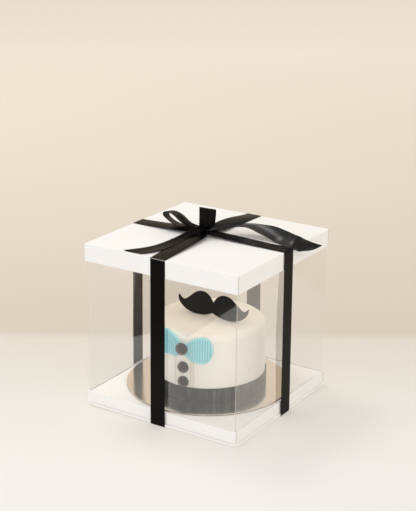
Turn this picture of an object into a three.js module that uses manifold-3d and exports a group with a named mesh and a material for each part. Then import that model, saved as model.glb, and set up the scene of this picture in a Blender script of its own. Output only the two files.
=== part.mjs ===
// A mini cake tied up in its clear-walled gift box, in millimetres, +Z up.
// The origin is on the surface that the box stands on, under the middle of its base.
// The cake's front, with its bow tie and buttons, faces -Y.
import * as THREE from 'three';
import { mergeVertices } from 'three/addons/utils/BufferGeometryUtils.js';
import Module from 'manifold-3d';

const wasm = await Module();
wasm.setup();

// Box: two shallow card trays, the upper one as a lid, round a clear sleeve
const BOX_WIDTH = 200;
const CARD = 1.2;
const LID_SKIRT = 20.4;
const TRAY_HEIGHT = 14;
const CARD_EDGE_SOFTNESS = 0.4;
const CLOSED_HEIGHT = 191.3; // from the tray's underside to the lid's top
const SLEEVE_WIDTH = 196.4;
const SLEEVE_WALL = 0.5;
const SLEEVE_CORNER = 1.2;
const RISER_WIDTH = 194.8;
const CONTACT = 0.2; // what stands on or against another piece clears it by this

// Base board under the tray, its corners rounded in plan
const BASE_BOARD_WIDTH = 203;
const BASE_BOARD_THICKNESS = 2.8;
const BASE_BOARD_CORNER = 9;

// Round foil board that carries the cake
const CAKE_BOARD_RADIUS = 95.3;
const CAKE_BOARD_THICKNESS = 1.2;

// Cake: a fondant-covered drum with a rounded shoulder
const CAKE_RADIUS = 65.5;
const CAKE_HEIGHT = 79.3;
const CAKE_SHOULDER = 8;
const CAKE_X = -0.8;
const CAKE_Y = 3.5;
const CAKE_TURN = THREE.MathUtils.degToRad(6.5); // its front looks this far round from -Y towards +X

// Fondant trim on the cake
const BAND_HEIGHT = 16.6;
const BAND_THICKNESS = 1.1;
const PLACKET_WIDTH = 24;
const PLACKET_THICKNESS = 1;
const PLACKET_TOP_GAP = 1.6; // between the placket and the tie above it
const TIE_HALF_LENGTH = 34;
const TIE_LOBE_HALF_HEIGHT = 15.2;
const TIE_WAIST_HALF_HEIGHT = 5.8;
const TIE_WAIST_DROP = 1.3; // the tie's waist hangs this far below the line of its lobes
const TIE_THICKNESS = 3;
const TIE_TILT = THREE.MathUtils.degToRad(-4);
const TIE_RISE = 64; // line of the lobes above the cake's underside
const BUTTON_RADIUS = 6.4;
const BUTTON_THICKNESS = 2.8;
const BUTTON_RIM_WIDTH = 1.6;
const BUTTON_DISH_DEPTH = 0.7;
const BUTTON_HOLE_RADIUS = 0.75;
const BUTTON_HOLE_SPACING = 2.6;
const BUTTON_RISES = { button_top: 63.2, button_middle: 40.3, button_bottom: 23.6 };
const TRIM_GAP = 0.3;

// Moustache topper, cut from a flat sheet and stood on edge
const MOUSTACHE_HALF_LENGTH = 47;
const MOUSTACHE_HEIGHT = 28.6;
const MOUSTACHE_THICKNESS = 4;
const MOUSTACHE_X = 5.4;
const MOUSTACHE_Y = 1.2;
const MOUSTACHE_TURN = THREE.MathUtils.degToRad(0.5);
const MOUSTACHE_BEVEL = 0.5;

// Satin ribbon, tied twice round the box, and its bow
const RIBBON_WIDTH = 19;
const RIBBON_THICKNESS = 0.5;
const RIBBON_PINCHED = 9; // width where the runs gather under the knot
const RIBBON_CLEARANCE = 0.2;
const RIBBON_RISE = 3.8; // the runs climb this far above the lid, from its edge to the knot
const KNOT_X = -4;
const KNOT_Y = -1;
const KNOT_LIFT = 8; // knot's middle above the lid
const KNOT_HALF = { x: 5.6, y: 4.8, z: 3.2 };
const RUN_ENDS = { front: -1, back: 0, right: 3.5, left: 1 }; // where each run crosses its lid edge

// Levels, from the surface that the part stands on
const baseBoardZ = RIBBON_THICKNESS + CONTACT;
const trayZ = baseBoardZ + BASE_BOARD_THICKNESS + CONTACT;
const riserZ = trayZ + CARD + CONTACT;
const cakeBoardZ = trayZ + TRAY_HEIGHT - 0.7;
const cakeZ = cakeBoardZ + CAKE_BOARD_THICKNESS + CONTACT;
const cakeTopZ = cakeZ + CAKE_HEIGHT;
const lidTopZ = trayZ + CLOSED_HEIGHT;
const lidZ = lidTopZ - LID_SKIRT;

const colours = {
  card: { color: 0xf3efe6, roughness: 0.75, metalness: 0 },
  board: { color: 0xd8ccb8, roughness: 0.12, metalness: 0.9 },
  film: { color: 0xf4f6f4, roughness: 0.05, metalness: 0, transparent: true, opacity: 0.18 },
  ivory: { color: 0xe9e2d1, roughness: 0.6, metalness: 0 },
  charcoal: { color: 0x2c2a28, roughness: 0.55, metalness: 0 },
  turquoise: { color: 0x92cbcd, roughness: 0.55, metalness: 0 },
  black: { color: 0x1c1817, roughness: 0.5, metalness: 0 },
  ribbon: { color: 0x1b1716, roughness: 0.35, metalness: 0 },
};

const group = new THREE.Group();

/** Adds a named mesh with a material of its own to a parent. */
function addPiece(name, geometry, finish, parent = group) {
  const mesh = new THREE.Mesh(geometry, new THREE.MeshStandardMaterial(finish));
  mesh.name = name;
  parent.add(mesh);
  return mesh;
}

/** A geometry's closed solid, its shared corners merged. */
function solidOf(geometry) {
  const bare = new THREE.BufferGeometry();
  bare.setAttribute('position', geometry.getAttribute('position'));
  bare.setIndex(geometry.getIndex());
  const merged = mergeVertices(bare, 1e-4);
  return new wasm.Manifold(new wasm.Mesh({
    numProp: 3,
    vertProperties: new Float32Array(merged.getAttribute('position').array),
    triVerts: new Uint32Array(merged.getIndex().array),
  }));
}

/** A solid's geometry, flat shaded. */
function geometryOf(solid) {
  const mesh = solid.getMesh();
  const geometry = new THREE.BufferGeometry();
  geometry.setAttribute('position', new THREE.BufferAttribute(mesh.vertProperties, 3));
  geometry.setIndex(new THREE.BufferAttribute(mesh.triVerts, 1));
  geometry.computeVertexNormals();
  return geometry;
}

/** A square outline about the origin, its corners rounded. */
function squareOutline(width, corner, Path = THREE.Shape) {
  const h = width / 2;
  const inner = h - corner;
  const outline = new Path();
  outline.moveTo(h, -inner);
  outline.absarc(inner, inner, corner, 0, Math.PI / 2, false);
  outline.absarc(-inner, inner, corner, Math.PI / 2, Math.PI, false);
  outline.absarc(-inner, -inner, corner, Math.PI, 1.5 * Math.PI, false);
  outline.absarc(inner, -inner, corner, 1.5 * Math.PI, 2 * Math.PI, false);
  return outline;
}

/** An upright square block from z = 0 up, its corners and its top and bottom edges softened. */
function squareBlock(width, height, corner, softness, curveSegments = 3) {
  const shape = squareOutline(width - 2 * softness, corner);
  const geometry = new THREE.ExtrudeGeometry(shape, {
    depth: height - 2 * softness,
    bevelEnabled: softness > 0,
    bevelThickness: softness,
    bevelSize: softness,
    bevelSegments: 1,
    curveSegments,
  });
  return geometry.translate(0, 0, softness);
}

/** A shallow card tray, open at the top, or at the bottom when it is turned over. */
function cardTray(width, height, turnedOver = false) {
  const outer = solidOf(squareBlock(width, height, CARD_EDGE_SOFTNESS, CARD_EDGE_SOFTNESS));
  const hollow = new THREE.BoxGeometry(width - 2 * CARD, width - 2 * CARD, height);
  hollow.translate(0, 0, height / 2 + (turnedOver ? -CARD : CARD));
  return geometryOf(outer.subtract(solidOf(hollow)));
}

addPiece('base_board',
  squareBlock(BASE_BOARD_WIDTH, BASE_BOARD_THICKNESS, BASE_BOARD_CORNER, 0.5, 8), colours.card)
  .position.z = baseBoardZ;
addPiece('base_tray', cardTray(BOX_WIDTH, TRAY_HEIGHT), colours.card).position.z = trayZ;
addPiece('card_riser', cardTray(RISER_WIDTH, cakeBoardZ - CONTACT - riserZ, true), colours.card)
  .position.z = riserZ;
addPiece('lid', cardTray(BOX_WIDTH, LID_SKIRT, true), colours.card).position.z = lidZ;

const sleeveShape = squareOutline(SLEEVE_WIDTH, SLEEVE_CORNER);
sleeveShape.holes.push(
  squareOutline(SLEEVE_WIDTH - 2 * SLEEVE_WALL, SLEEVE_CORNER - SLEEVE_WALL, THREE.Path));
addPiece('clear_sleeve', new THREE.ExtrudeGeometry(sleeveShape, {
  depth: lidTopZ - CARD - CONTACT - riserZ,
  bevelEnabled: false,
  curveSegments: 3,
}), colours.film).position.z = riserZ;

const foilBoard = new THREE.CylinderGeometry(
  CAKE_BOARD_RADIUS, CAKE_BOARD_RADIUS, CAKE_BOARD_THICKNESS, 96);
foilBoard.rotateX(Math.PI / 2);
addPiece('cake_board', foilBoard, colours.board).position.z = cakeBoardZ + CAKE_BOARD_THICKNESS / 2;

// The cake and its trim share a frame: z from the cake's underside, the cake's front at -Y
const cake = new THREE.Group();
cake.position.set(CAKE_X, CAKE_Y, cakeZ);
cake.rotation.z = CAKE_TURN;
group.add(cake);

/** The cake's side and shoulder, as a profile from the axis round to the axis. */
function cakeProfile(steps = 7) {
  const points = [new THREE.Vector2(0, 0), new THREE.Vector2(CAKE_RADIUS, 0)];
  for (let i = 0; i <= steps; i++) {
    const angle = (i / steps) * Math.PI / 2;
    points.push(new THREE.Vector2(
      CAKE_RADIUS - CAKE_SHOULDER * (1 - Math.cos(angle)),
      CAKE_HEIGHT - CAKE_SHOULDER * (1 - Math.sin(angle))));
  }
  points.push(new THREE.Vector2(0, CAKE_HEIGHT));
  return points;
}

addPiece('cake', new THREE.LatheGeometry(cakeProfile(), 96).rotateX(Math.PI / 2),
  colours.ivory, cake);

/** A flat ring round the cake's foot, its outer edges softened. */
function bandProfile() {
  const inner = CAKE_RADIUS + TRIM_GAP;
  const outer = inner + BAND_THICKNESS;
  const soft = BAND_THICKNESS / 3;
  return [
    [inner, 0], [outer - soft, 0], [outer, soft], [outer, BAND_HEIGHT - soft],
    [outer - soft, BAND_HEIGHT], [inner, BAND_HEIGHT], [inner, 0],
  ].map(([radius, z]) => new THREE.Vector2(radius, z));
}

addPiece('waist_band', new THREE.LatheGeometry(bandProfile(), 96).rotateX(Math.PI / 2),
  colours.charcoal, cake);

/**
 * A plate wrapped round the cake's side. column(s), with s from 0 to 1 along the plate, gives
 * the lower and upper end of that column as [arc length from the front, height].
 */
function wrappedPlate(column, innerRadius, thickness, columns, rows) {
  const positions = [];
  const index = [];
  for (const radius of [innerRadius, innerRadius + thickness]) {
    for (let i = 0; i <= columns; i++) {
      const [low, high] = column(i / columns);
      for (let j = 0; j <= rows; j++) {
        const arc = THREE.MathUtils.lerp(low[0], high[0], j / rows);
        const angle = arc / CAKE_RADIUS;
        positions.push(radius * Math.sin(angle), -radius * Math.cos(angle),
          THREE.MathUtils.lerp(low[1], high[1], j / rows));
      }
    }
  }
  const layer = (columns + 1) * (rows + 1);
  const at = (side, i, j) => side * layer + i * (rows + 1) + j;
  const quad = (a, b, c, d) => index.push(a, b, c, a, c, d);
  for (let i = 0; i < columns; i++) {
    for (let j = 0; j < rows; j++) {
      quad(at(1, i, j), at(1, i + 1, j), at(1, i + 1, j + 1), at(1, i, j + 1));
      quad(at(0, i, j), at(0, i, j + 1), at(0, i + 1, j + 1), at(0, i + 1, j));
    }
    quad(at(0, i, 0), at(0, i + 1, 0), at(1, i + 1, 0), at(1, i, 0));
    quad(at(1, i, rows), at(1, i + 1, rows), at(0, i + 1, rows), at(0, i, rows));
  }
  for (let j = 0; j < rows; j++) {
    quad(at(0, 0, j), at(1, 0, j), at(1, 0, j + 1), at(0, 0, j + 1));
    quad(at(1, columns, j), at(0, columns, j), at(0, columns, j + 1), at(1, columns, j + 1));
  }
  const geometry = new THREE.BufferGeometry();
  geometry.setAttribute('position', new THREE.Float32BufferAttribute(positions, 3));
  geometry.setIndex(index);
  geometry.computeVertexNormals();
  return geometry;
}

/** Half height of the bow tie at a share of its half length: a waist, a lobe and a blunt end. */
function tieHalfHeight(share) {
  const waistShare = 0.1;
  const lobeShare = 0.72;
  if (share < lobeShare) {
    const rise = Math.max(0, (share - waistShare) / (lobeShare - waistShare));
    return THREE.MathUtils.lerp(TIE_WAIST_HALF_HEIGHT, TIE_LOBE_HALF_HEIGHT, rise ** 0.8);
  }
  const beyond = (share - lobeShare) / (1 - lobeShare);
  return TIE_LOBE_HALF_HEIGHT * (0.3 + 0.7 * Math.sqrt(Math.max(0, 1 - beyond ** 2.4)));
}

/** How far the tie's middle line hangs at a share of its half length. */
function tieDrop(share) {
  return TIE_WAIST_DROP * Math.max(0, 1 - share / 0.6);
}

/** The bow tie's column at s, its columns closest together at the rounded ends. */
function tieColumn(s) {
  const share = Math.sin((s - 0.5) * Math.PI);
  const along = share * TIE_HALF_LENGTH;
  const half = tieHalfHeight(Math.abs(share));
  const middle = -tieDrop(Math.abs(share));
  return [middle - half, middle + half].map((up) => [
    along * Math.cos(TIE_TILT) - up * Math.sin(TIE_TILT),
    TIE_RISE + along * Math.sin(TIE_TILT) + up * Math.cos(TIE_TILT),
  ]);
}

addPiece('bow_tie', wrappedPlate(tieColumn, CAKE_RADIUS + TRIM_GAP, TIE_THICKNESS, 36, 4),
  colours.turquoise, cake);

const placketLow = BAND_HEIGHT + TRIM_GAP;
const placketEdgeShare = PLACKET_WIDTH / 2 / TIE_HALF_LENGTH;
const tieLowAtPlacket = TIE_RISE - tieDrop(placketEdgeShare) - tieHalfHeight(placketEdgeShare);
const placketHigh = tieLowAtPlacket - PLACKET_TOP_GAP;
addPiece('shirt_placket', wrappedPlate((s) => {
  const arc = (s - 0.5) * PLACKET_WIDTH;
  return [[arc, placketLow], [arc, placketHigh]];
}, CAKE_RADIUS + TRIM_GAP, PLACKET_THICKNESS, 10, 2), colours.ivory, cake);

/** A rimmed four-hole button, its back at z = 0. */
function buttonGeometry() {
  const soft = 0.6;
  const rim = BUTTON_RADIUS - BUTTON_RIM_WIDTH;
  const dish = BUTTON_THICKNESS - BUTTON_DISH_DEPTH;
  const profile = [
    [0, 0], [BUTTON_RADIUS - soft, 0], [BUTTON_RADIUS, soft],
    [BUTTON_RADIUS, BUTTON_THICKNESS - soft], [BUTTON_RADIUS - soft, BUTTON_THICKNESS],
    [rim + soft / 2, BUTTON_THICKNESS], [rim - soft / 2, dish], [0, dish],
  ].map(([radius, z]) => new THREE.Vector2(radius, z));
  let button = solidOf(new THREE.LatheGeometry(profile, 32).rotateX(Math.PI / 2));
  for (const x of [-1, 1]) {
    for (const y of [-1, 1]) {
      const hole = new THREE.CylinderGeometry(
        BUTTON_HOLE_RADIUS, BUTTON_HOLE_RADIUS, 3 * BUTTON_THICKNESS, 10);
      hole.rotateX(Math.PI / 2);
      hole.translate(x * BUTTON_HOLE_SPACING / 2, y * BUTTON_HOLE_SPACING / 2, 0);
      button = button.subtract(solidOf(hole));
    }
  }
  return geometryOf(button);
}

for (const [name, rise] of Object.entries(BUTTON_RISES)) {
  const onTie = name === 'button_top';
  const backing = onTie ? TIE_THICKNESS : Math.max(PLACKET_THICKNESS, BAND_THICKNESS);
  const button = addPiece(name, buttonGeometry(), colours.charcoal, cake);
  button.rotation.x = Math.PI / 2;
  button.position.set(0, -(CAKE_RADIUS + 2 * TRIM_GAP + backing), rise);
}

/**
 * The moustache's outline. Its right half runs from the notch between the lobes over the lobe to
 * the tip, and back underneath, given as shares of the half length and of the height.
 */
function moustacheOutline() {
  const upper = [
    [0, 0.58], [0.13, 0.88], [0.3, 1], [0.49, 0.93], [0.67, 0.69], [0.81, 0.52], [0.91, 0.53], [1, 0.67],
  ];
  const lower = [
    [1, 0.67], [0.985, 0.46], [0.91, 0.27], [0.77, 0.105], [0.6, 0.02], [0.41, 0], [0.2, 0.04], [0, 0.16],
  ];
  const curve = (shares) => new THREE.SplineCurve(shares.map(([x, y]) => (
    new THREE.Vector2(x * MOUSTACHE_HALF_LENGTH, y * MOUSTACHE_HEIGHT))));
  const half = [...curve(upper).getPoints(18).slice(0, -1), ...curve(lower).getPoints(18)];
  const mirrored = half.slice(1, -1).map((point) => new THREE.Vector2(-point.x, point.y)).reverse();
  return [...half, ...mirrored];
}

const moustache = new THREE.ExtrudeGeometry(new THREE.Shape(moustacheOutline()), {
  depth: MOUSTACHE_THICKNESS - 2 * MOUSTACHE_BEVEL,
  bevelEnabled: true,
  bevelThickness: MOUSTACHE_BEVEL,
  bevelSize: MOUSTACHE_BEVEL,
  bevelOffset: -MOUSTACHE_BEVEL,
  bevelSegments: 1,
});
moustache.translate(0, 0, -MOUSTACHE_THICKNESS / 2 + MOUSTACHE_BEVEL).rotateX(Math.PI / 2);
const topper = addPiece('moustache_topper', moustache, colours.black);
topper.position.set(MOUSTACHE_X, MOUSTACHE_Y, cakeTopZ + CONTACT);
topper.rotation.z = MOUSTACHE_TURN;

/**
 * A flat ribbon through stations of { left, right }, its two edges, as a closed solid. A looped
 * ribbon joins its last station to its first.
 */
function ribbonGeometry(stations, looped = false) {
  const count = stations.length;
  const positions = [];
  const index = [];
  const middle = ({ left, right }) => left.clone().add(right).multiplyScalar(0.5);
  stations.forEach((station, i) => {
    const before = stations[looped ? (i + count - 1) % count : Math.max(i - 1, 0)];
    const after = stations[looped ? (i + 1) % count : Math.min(i + 1, count - 1)];
    const along = middle(after).sub(middle(before)).normalize();
    const across = station.right.clone().sub(station.left).normalize();
    const out = across.clone().cross(along).normalize().multiplyScalar(RIBBON_THICKNESS / 2);
    for (const corner of [
      station.left.clone().add(out), station.right.clone().add(out),
      station.right.clone().sub(out), station.left.clone().sub(out),
    ]) positions.push(...corner.toArray());
  });
  const spans = looped ? count : count - 1;
  for (let i = 0; i < spans; i++) {
    const next = (i + 1) % count;
    for (let k = 0; k < 4; k++) {
      const a = 4 * i + k;
      const b = 4 * i + (k + 1) % 4;
      const c = 4 * next + (k + 1) % 4;
      const d = 4 * next + k;
      index.push(a, b, c, a, c, d);
    }
  }
  if (!looped) {
    const last = 4 * (count - 1);
    index.push(0, 3, 2, 0, 2, 1, last, last + 1, last + 2, last, last + 2, last + 3);
  }
  const geometry = new THREE.BufferGeometry();
  geometry.setAttribute('position', new THREE.Float32BufferAttribute(positions, 3));
  geometry.setIndex(index);
  geometry.computeVertexNormals();
  return geometry;
}

/** One turn of ribbon round the box, over the lid's edges at the two given offsets. */
function wrapStations(along, across, knotAlong, knotAcross, nearOffset, farOffset) {
  const half = RIBBON_THICKNESS / 2;
  const onLid = BOX_WIDTH / 2 + RIBBON_CLEARANCE + half;
  const onBase = BASE_BOARD_WIDTH / 2 + RIBBON_CLEARANCE + half;
  const lidLevel = lidTopZ + RIBBON_CLEARANCE + half;
  const bend = 0.7;
  const stations = [];
  const put = (distance, offset, z, width) => {
    const centre = along.clone().multiplyScalar(distance).addScaledVector(across, offset).setZ(z);
    const side = across.clone().multiplyScalar(width / 2);
    stations.push({ left: centre.clone().sub(side), right: centre.clone().add(side) });
  };
  const runWidth = (share) => THREE.MathUtils.lerp(RIBBON_WIDTH, RIBBON_PINCHED,
    THREE.MathUtils.smoothstep(share, 0.66, 1));
  const shares = [0, 0.3, 0.55, 0.7, 0.8, 0.9, 1];
  const topRun = (end, offset, list) => {
    for (const share of list) {
      put(THREE.MathUtils.lerp(end, knotAlong, share), THREE.MathUtils.lerp(offset, knotAcross, share),
        lidLevel + RIBBON_RISE * share, runWidth(share));
    }
  };
  topRun(-(onLid - bend), nearOffset, shares);
  topRun(onLid - bend, farOffset, shares.slice(0, -1).reverse());
  put(onLid, farOffset, lidLevel - bend, RIBBON_WIDTH);
  put(onBase, farOffset, half + bend, RIBBON_WIDTH);
  put(onBase - bend, farOffset, half, RIBBON_WIDTH);
  put(-(onBase - bend), nearOffset, half, RIBBON_WIDTH);
  put(-onBase, nearOffset, half + bend, RIBBON_WIDTH);
  put(-onLid, nearOffset, lidLevel - bend, RIBBON_WIDTH);
  return stations;
}

const xAxis = new THREE.Vector3(1, 0, 0);
const yAxis = new THREE.Vector3(0, 1, 0);
const overX = wrapStations(xAxis, yAxis.clone().negate(), KNOT_X, -KNOT_Y, -RUN_ENDS.left, -RUN_ENDS.right);
const overY = wrapStations(yAxis, xAxis, KNOT_Y, KNOT_X, RUN_ENDS.front, RUN_ENDS.back);
addPiece('ribbon_wrap',
  geometryOf(solidOf(ribbonGeometry(overX, true)).add(solidOf(ribbonGeometry(overY, true)))),
  colours.ribbon);

// Bow: its frame has the knot's middle at the origin
const bow = new THREE.Group();
bow.position.set(KNOT_X, KNOT_Y, lidTopZ + KNOT_LIFT);
group.add(bow);

/**
 * Stations of a free ribbon. Each key is [x, y, z, width, turn, tilt]: a point on its middle
 * line, its width there, and which way it lies across, turned in plan and tilted up.
 */
function freeStations(keys, count, endCut = 0) {
  const spline = (pick) => new THREE.CatmullRomCurve3(keys.map(pick), false, 'centripetal');
  const line = spline((key) => new THREE.Vector3(key[0], key[1], key[2]));
  const lie = new THREE.SplineCurve(keys.map((key) => new THREE.Vector2(key[4], key[5])));
  const widths = new THREE.SplineCurve(keys.map((key, i) => new THREE.Vector2(i, key[3])));
  const stations = [];
  for (let i = 0; i <= count; i++) {
    const t = i / count;
    const turn = THREE.MathUtils.degToRad(lie.getPoint(t).x);
    const tilt = THREE.MathUtils.degToRad(lie.getPoint(t).y);
    const side = new THREE.Vector3(Math.cos(turn), Math.sin(turn), 0)
      .multiplyScalar(Math.cos(tilt))
      .setZ(Math.sin(tilt))
      .multiplyScalar(widths.getPoint(t).y / 2);
    const point = line.getPoint(t);
    stations.push({ left: point.clone().sub(side), right: point.clone().add(side) });
  }
  if (endCut !== 0) {
    const last = stations[count];
    const onward = line.getTangent(1).multiplyScalar(endCut / 2);
    last.left.sub(onward);
    last.right.add(onward);
  }
  return stations;
}

const knot = new THREE.SphereGeometry(1, 20, 12).scale(KNOT_HALF.x, KNOT_HALF.y, KNOT_HALF.z);
addPiece('bow_knot', knot, colours.ribbon, bow);

// A loop that lies back towards -X
addPiece('bow_loop_left', ribbonGeometry(freeStations([
  [-6.2, 0, 2.2, 6, 90, 0], [-15, 0, 3.4, 8, 90, 0], [-26, 0, 5.6, 12.5, 90, 0],
  [-36, 0, 8.8, 17, 90, 0], [-44, 0, 11.6, 19, 90, 0], [-49.5, 0, 12, 19, 90, 0],
  [-52, 0, 9.4, 19, 90, 0], [-49.5, 0, 6.2, 19, 90, 0], [-42.5, 0, 3.8, 18, 90, 0],
  [-33, 0, 1.6, 15, 90, 0], [-20, 0, -0.2, 9, 90, 0], [-6.6, 0, -0.8, 6, 90, 0],
], 44)), colours.ribbon, bow);

// A loop that stands up on the knot, its broad side towards the front corner
addPiece('bow_loop_right', ribbonGeometry(freeStations([
  [1.4, -2.2, 4.2, 9, 26, -8], [3.6, -4.5, 8.6, 17, 26, -8], [4.6, -5.6, 14, 19, 26, -8],
  [3.9, -4, 20.4, 19, 26, -8], [1.6, 0.9, 23.6, 19, 26, -8], [-1.1, 6.3, 20.8, 19, 26, -8],
  [-1.6, 7.6, 14, 19, 26, -8], [-0.8, 5.4, 8.4, 15, 26, -8], [0, 2.2, 4.2, 8, 26, -8],
], 36)), colours.ribbon, bow);

// A tail that lies down on the lid towards the front left edge
addPiece('bow_tail_left', ribbonGeometry(freeStations([
  [-4.6, -5.4, -0.8, 8, -8, 0], [-8.5, -19.4, -1.4, 11, -8, 0], [-10.3, -36.7, -2.8, 13, -8, 0],
  [-12.9, -60, -4.7, 16, -12, 0], [-19.8, -81, -6, 19, -28, 0], [-32.8, -96.5, -6.9, 19, -42, 0],
], 24, -15)), colours.ribbon, bow);

// A tail that arches and twists over the front right edge
addPiece('bow_tail_right', ribbonGeometry(freeStations([
  [6, 2.8, 0.4, 9, 110, 10], [16, 11.5, 2.2, 13, 116, 4], [29.8, 23, 4, 13, 116, -6],
  [43, 27.4, 4.3, 16, 113, 6], [59.1, 27.6, 2.5, 19, 110, 20], [78.1, 27.3, -0.5, 19, 104, 33],
  [95, 25, -1.9, 19, 98, 34], [104, 25, -2.5, 19, 92, 30], [112.5, 25, -5.2, 19, 86, 28],
  [122.5, 25, -7.5, 17, 75, 25],
], 36, 10)), colours.ribbon, bow);

export default group;
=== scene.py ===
import bmesh
import bpy
import numpy as np
from mathutils import Matrix, Vector


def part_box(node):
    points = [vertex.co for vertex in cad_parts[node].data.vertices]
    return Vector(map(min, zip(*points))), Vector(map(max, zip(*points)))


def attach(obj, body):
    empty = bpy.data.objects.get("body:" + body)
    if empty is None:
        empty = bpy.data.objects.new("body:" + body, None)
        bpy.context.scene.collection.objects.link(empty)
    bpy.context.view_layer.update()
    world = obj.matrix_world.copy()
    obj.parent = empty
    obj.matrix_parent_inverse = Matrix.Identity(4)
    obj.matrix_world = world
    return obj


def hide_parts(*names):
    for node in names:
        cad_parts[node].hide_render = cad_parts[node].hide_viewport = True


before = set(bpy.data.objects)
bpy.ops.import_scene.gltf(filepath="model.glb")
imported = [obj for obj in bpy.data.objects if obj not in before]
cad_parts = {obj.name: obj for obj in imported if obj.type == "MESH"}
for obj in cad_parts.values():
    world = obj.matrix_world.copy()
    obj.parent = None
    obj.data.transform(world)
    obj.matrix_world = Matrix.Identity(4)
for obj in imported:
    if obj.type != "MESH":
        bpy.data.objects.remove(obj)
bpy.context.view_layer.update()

# Base board
# A thin square of lined greyboard with rounded corners. The whole box stands on it.
# The white lining paper is drawn round its edge, so no grey shows.
MM = 0.001
BOARD_CORNER = 9 * MM
BOARD_ROLL = 0.6 * MM
CARD_WHITE = "#f8f7f5"
CARD_SHADE = "#f4f2ee"
CUT_CARD = "#b3a69b"
CARD_FIBRE = 0.45 * MM
CARD_CLOUD = 26 * MM


def linear(code):
    """An sRGB hex colour as linear red, green, blue and full alpha."""
    share = np.array([int(code[i:i + 2], 16) for i in (1, 3, 5)]) / 255
    light = np.where(share <= 0.04045, share / 12.92, ((share + 0.055) / 1.055) ** 2.4)
    return (*light.tolist(), 1.0)


def add(tree, kind, inputs=None, **settings):
    """Adds a node with its settings. An input is set to its value, or linked if it is a socket."""
    node = tree.nodes.new(kind)
    for key, value in settings.items():
        setattr(node, key, value)
    for key, value in (inputs or {}).items():
        if isinstance(value, bpy.types.NodeSocket):
            tree.links.new(value, node.inputs[key])
        else:
            node.inputs[key].default_value = value
    return node


def new_material(name):
    """An empty node material, as the material and its tree."""
    material = bpy.data.materials.new(name)
    material.use_nodes = True
    material.node_tree.nodes.clear()
    return material, material.node_tree


def marked(tree):
    """How much of a mark a piece has: the first value of its UV map."""
    chart = add(tree, "ShaderNodeUVMap", uv_map="UVMap")
    return add(tree, "ShaderNodeSeparateXYZ", {"Vector": chart.outputs["UV"]}).outputs["X"]


def lined_card():
    """
    White lining paper on board: matt, faintly clouded, with a bump of fine paper fibre. Where it is
    marked, the card's bare cut edge shows in a joint.
    """
    material, tree = new_material("lined_white_card")
    place = add(tree, "ShaderNodeTexCoord").outputs["Object"]
    cloud = add(tree, "ShaderNodeTexNoise", {"Vector": place, "Scale": 1 / CARD_CLOUD, "Detail": 3.0})
    tone = add(tree, "ShaderNodeMix", {"Factor": cloud.outputs["Fac"], "A": linear(CARD_WHITE),
                                       "B": linear(CARD_SHADE)}, data_type="RGBA")
    tone = add(tree, "ShaderNodeMix", {"Factor": marked(tree), "A": tone.outputs["Result"],
                                       "B": linear(CUT_CARD)}, data_type="RGBA")
    fibre = add(tree, "ShaderNodeTexNoise", {"Vector": place, "Scale": 1 / CARD_FIBRE, "Detail": 4.0})
    bump = add(tree, "ShaderNodeBump", {"Height": fibre.outputs["Fac"], "Strength": 0.12,
                                        "Distance": 0.06 * MM})
    paper = add(tree, "ShaderNodeBsdfPrincipled", {
        "Base Color": tone.outputs["Result"], "Roughness": 0.55, "Specular IOR Level": 0.35,
        "Normal": bump.outputs["Normal"]})
    add(tree, "ShaderNodeOutputMaterial", {"Surface": paper.outputs["BSDF"]})
    return material


def grid_faces(rows, columns, rows_closed=False, columns_closed=False):
    """Faces between neighbours in a grid of points, row by row, as lists of four point numbers."""
    i, j = np.meshgrid(np.arange(rows if rows_closed else rows - 1),
                       np.arange(columns if columns_closed else columns - 1), indexing="ij")
    i_next, j_next = (i + 1) % rows, (j + 1) % columns
    corners = [i * columns + j, i * columns + j_next, i_next * columns + j_next, i_next * columns + j]
    return np.stack(corners, -1).reshape(-1, 4).tolist()


def make(name, points, faces, material, node, uv=None, marks=None):
    """
    A piece that rides on the root body in place of its node. Its UV map, if it has one, holds the
    given UV, or a mark for each point. Points that meet are merged and the faces turned outwards.
    """
    mesh = bpy.data.meshes.new(name)
    mesh.from_pydata(np.reshape(points, (-1, 3)).tolist(), [], faces)
    if marks is not None:
        uv = np.stack([marks, 0 * marks], -1)
    if uv is not None:
        corner_points = np.empty(len(mesh.loops), dtype=np.int32)
        mesh.loops.foreach_get("vertex_index", corner_points)
        flat = np.reshape(uv, (-1, 2))[corner_points].astype(np.float32)
        mesh.uv_layers.new(name="UVMap").data.foreach_set("uv", flat.ravel())
    shell = bmesh.new()
    shell.from_mesh(mesh)
    bmesh.ops.remove_doubles(shell, verts=shell.verts, dist=1e-6)
    bmesh.ops.recalc_face_normals(shell, faces=shell.faces)
    shell.to_mesh(mesh)
    shell.free()
    mesh.shade_smooth()
    mesh.materials.append(material)
    piece = bpy.data.objects.new(name, mesh)
    bpy.context.collection.objects.link(piece)
    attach(piece, "root")
    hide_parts(node)
    return piece


CORNER_STEPS = 7
NEAR_CORNER = np.array([0.35, 0.7, 1.0, 1.3, 1.7, 2.6, 5.0]) / 200
SIDE_SHARES = np.concatenate([NEAR_CORNER, np.linspace(0.06, 0.94, 19), 1 - NEAR_CORNER[::-1]])
RING_POINTS = 4 * (CORNER_STEPS + len(SIDE_SHARES))


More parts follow.
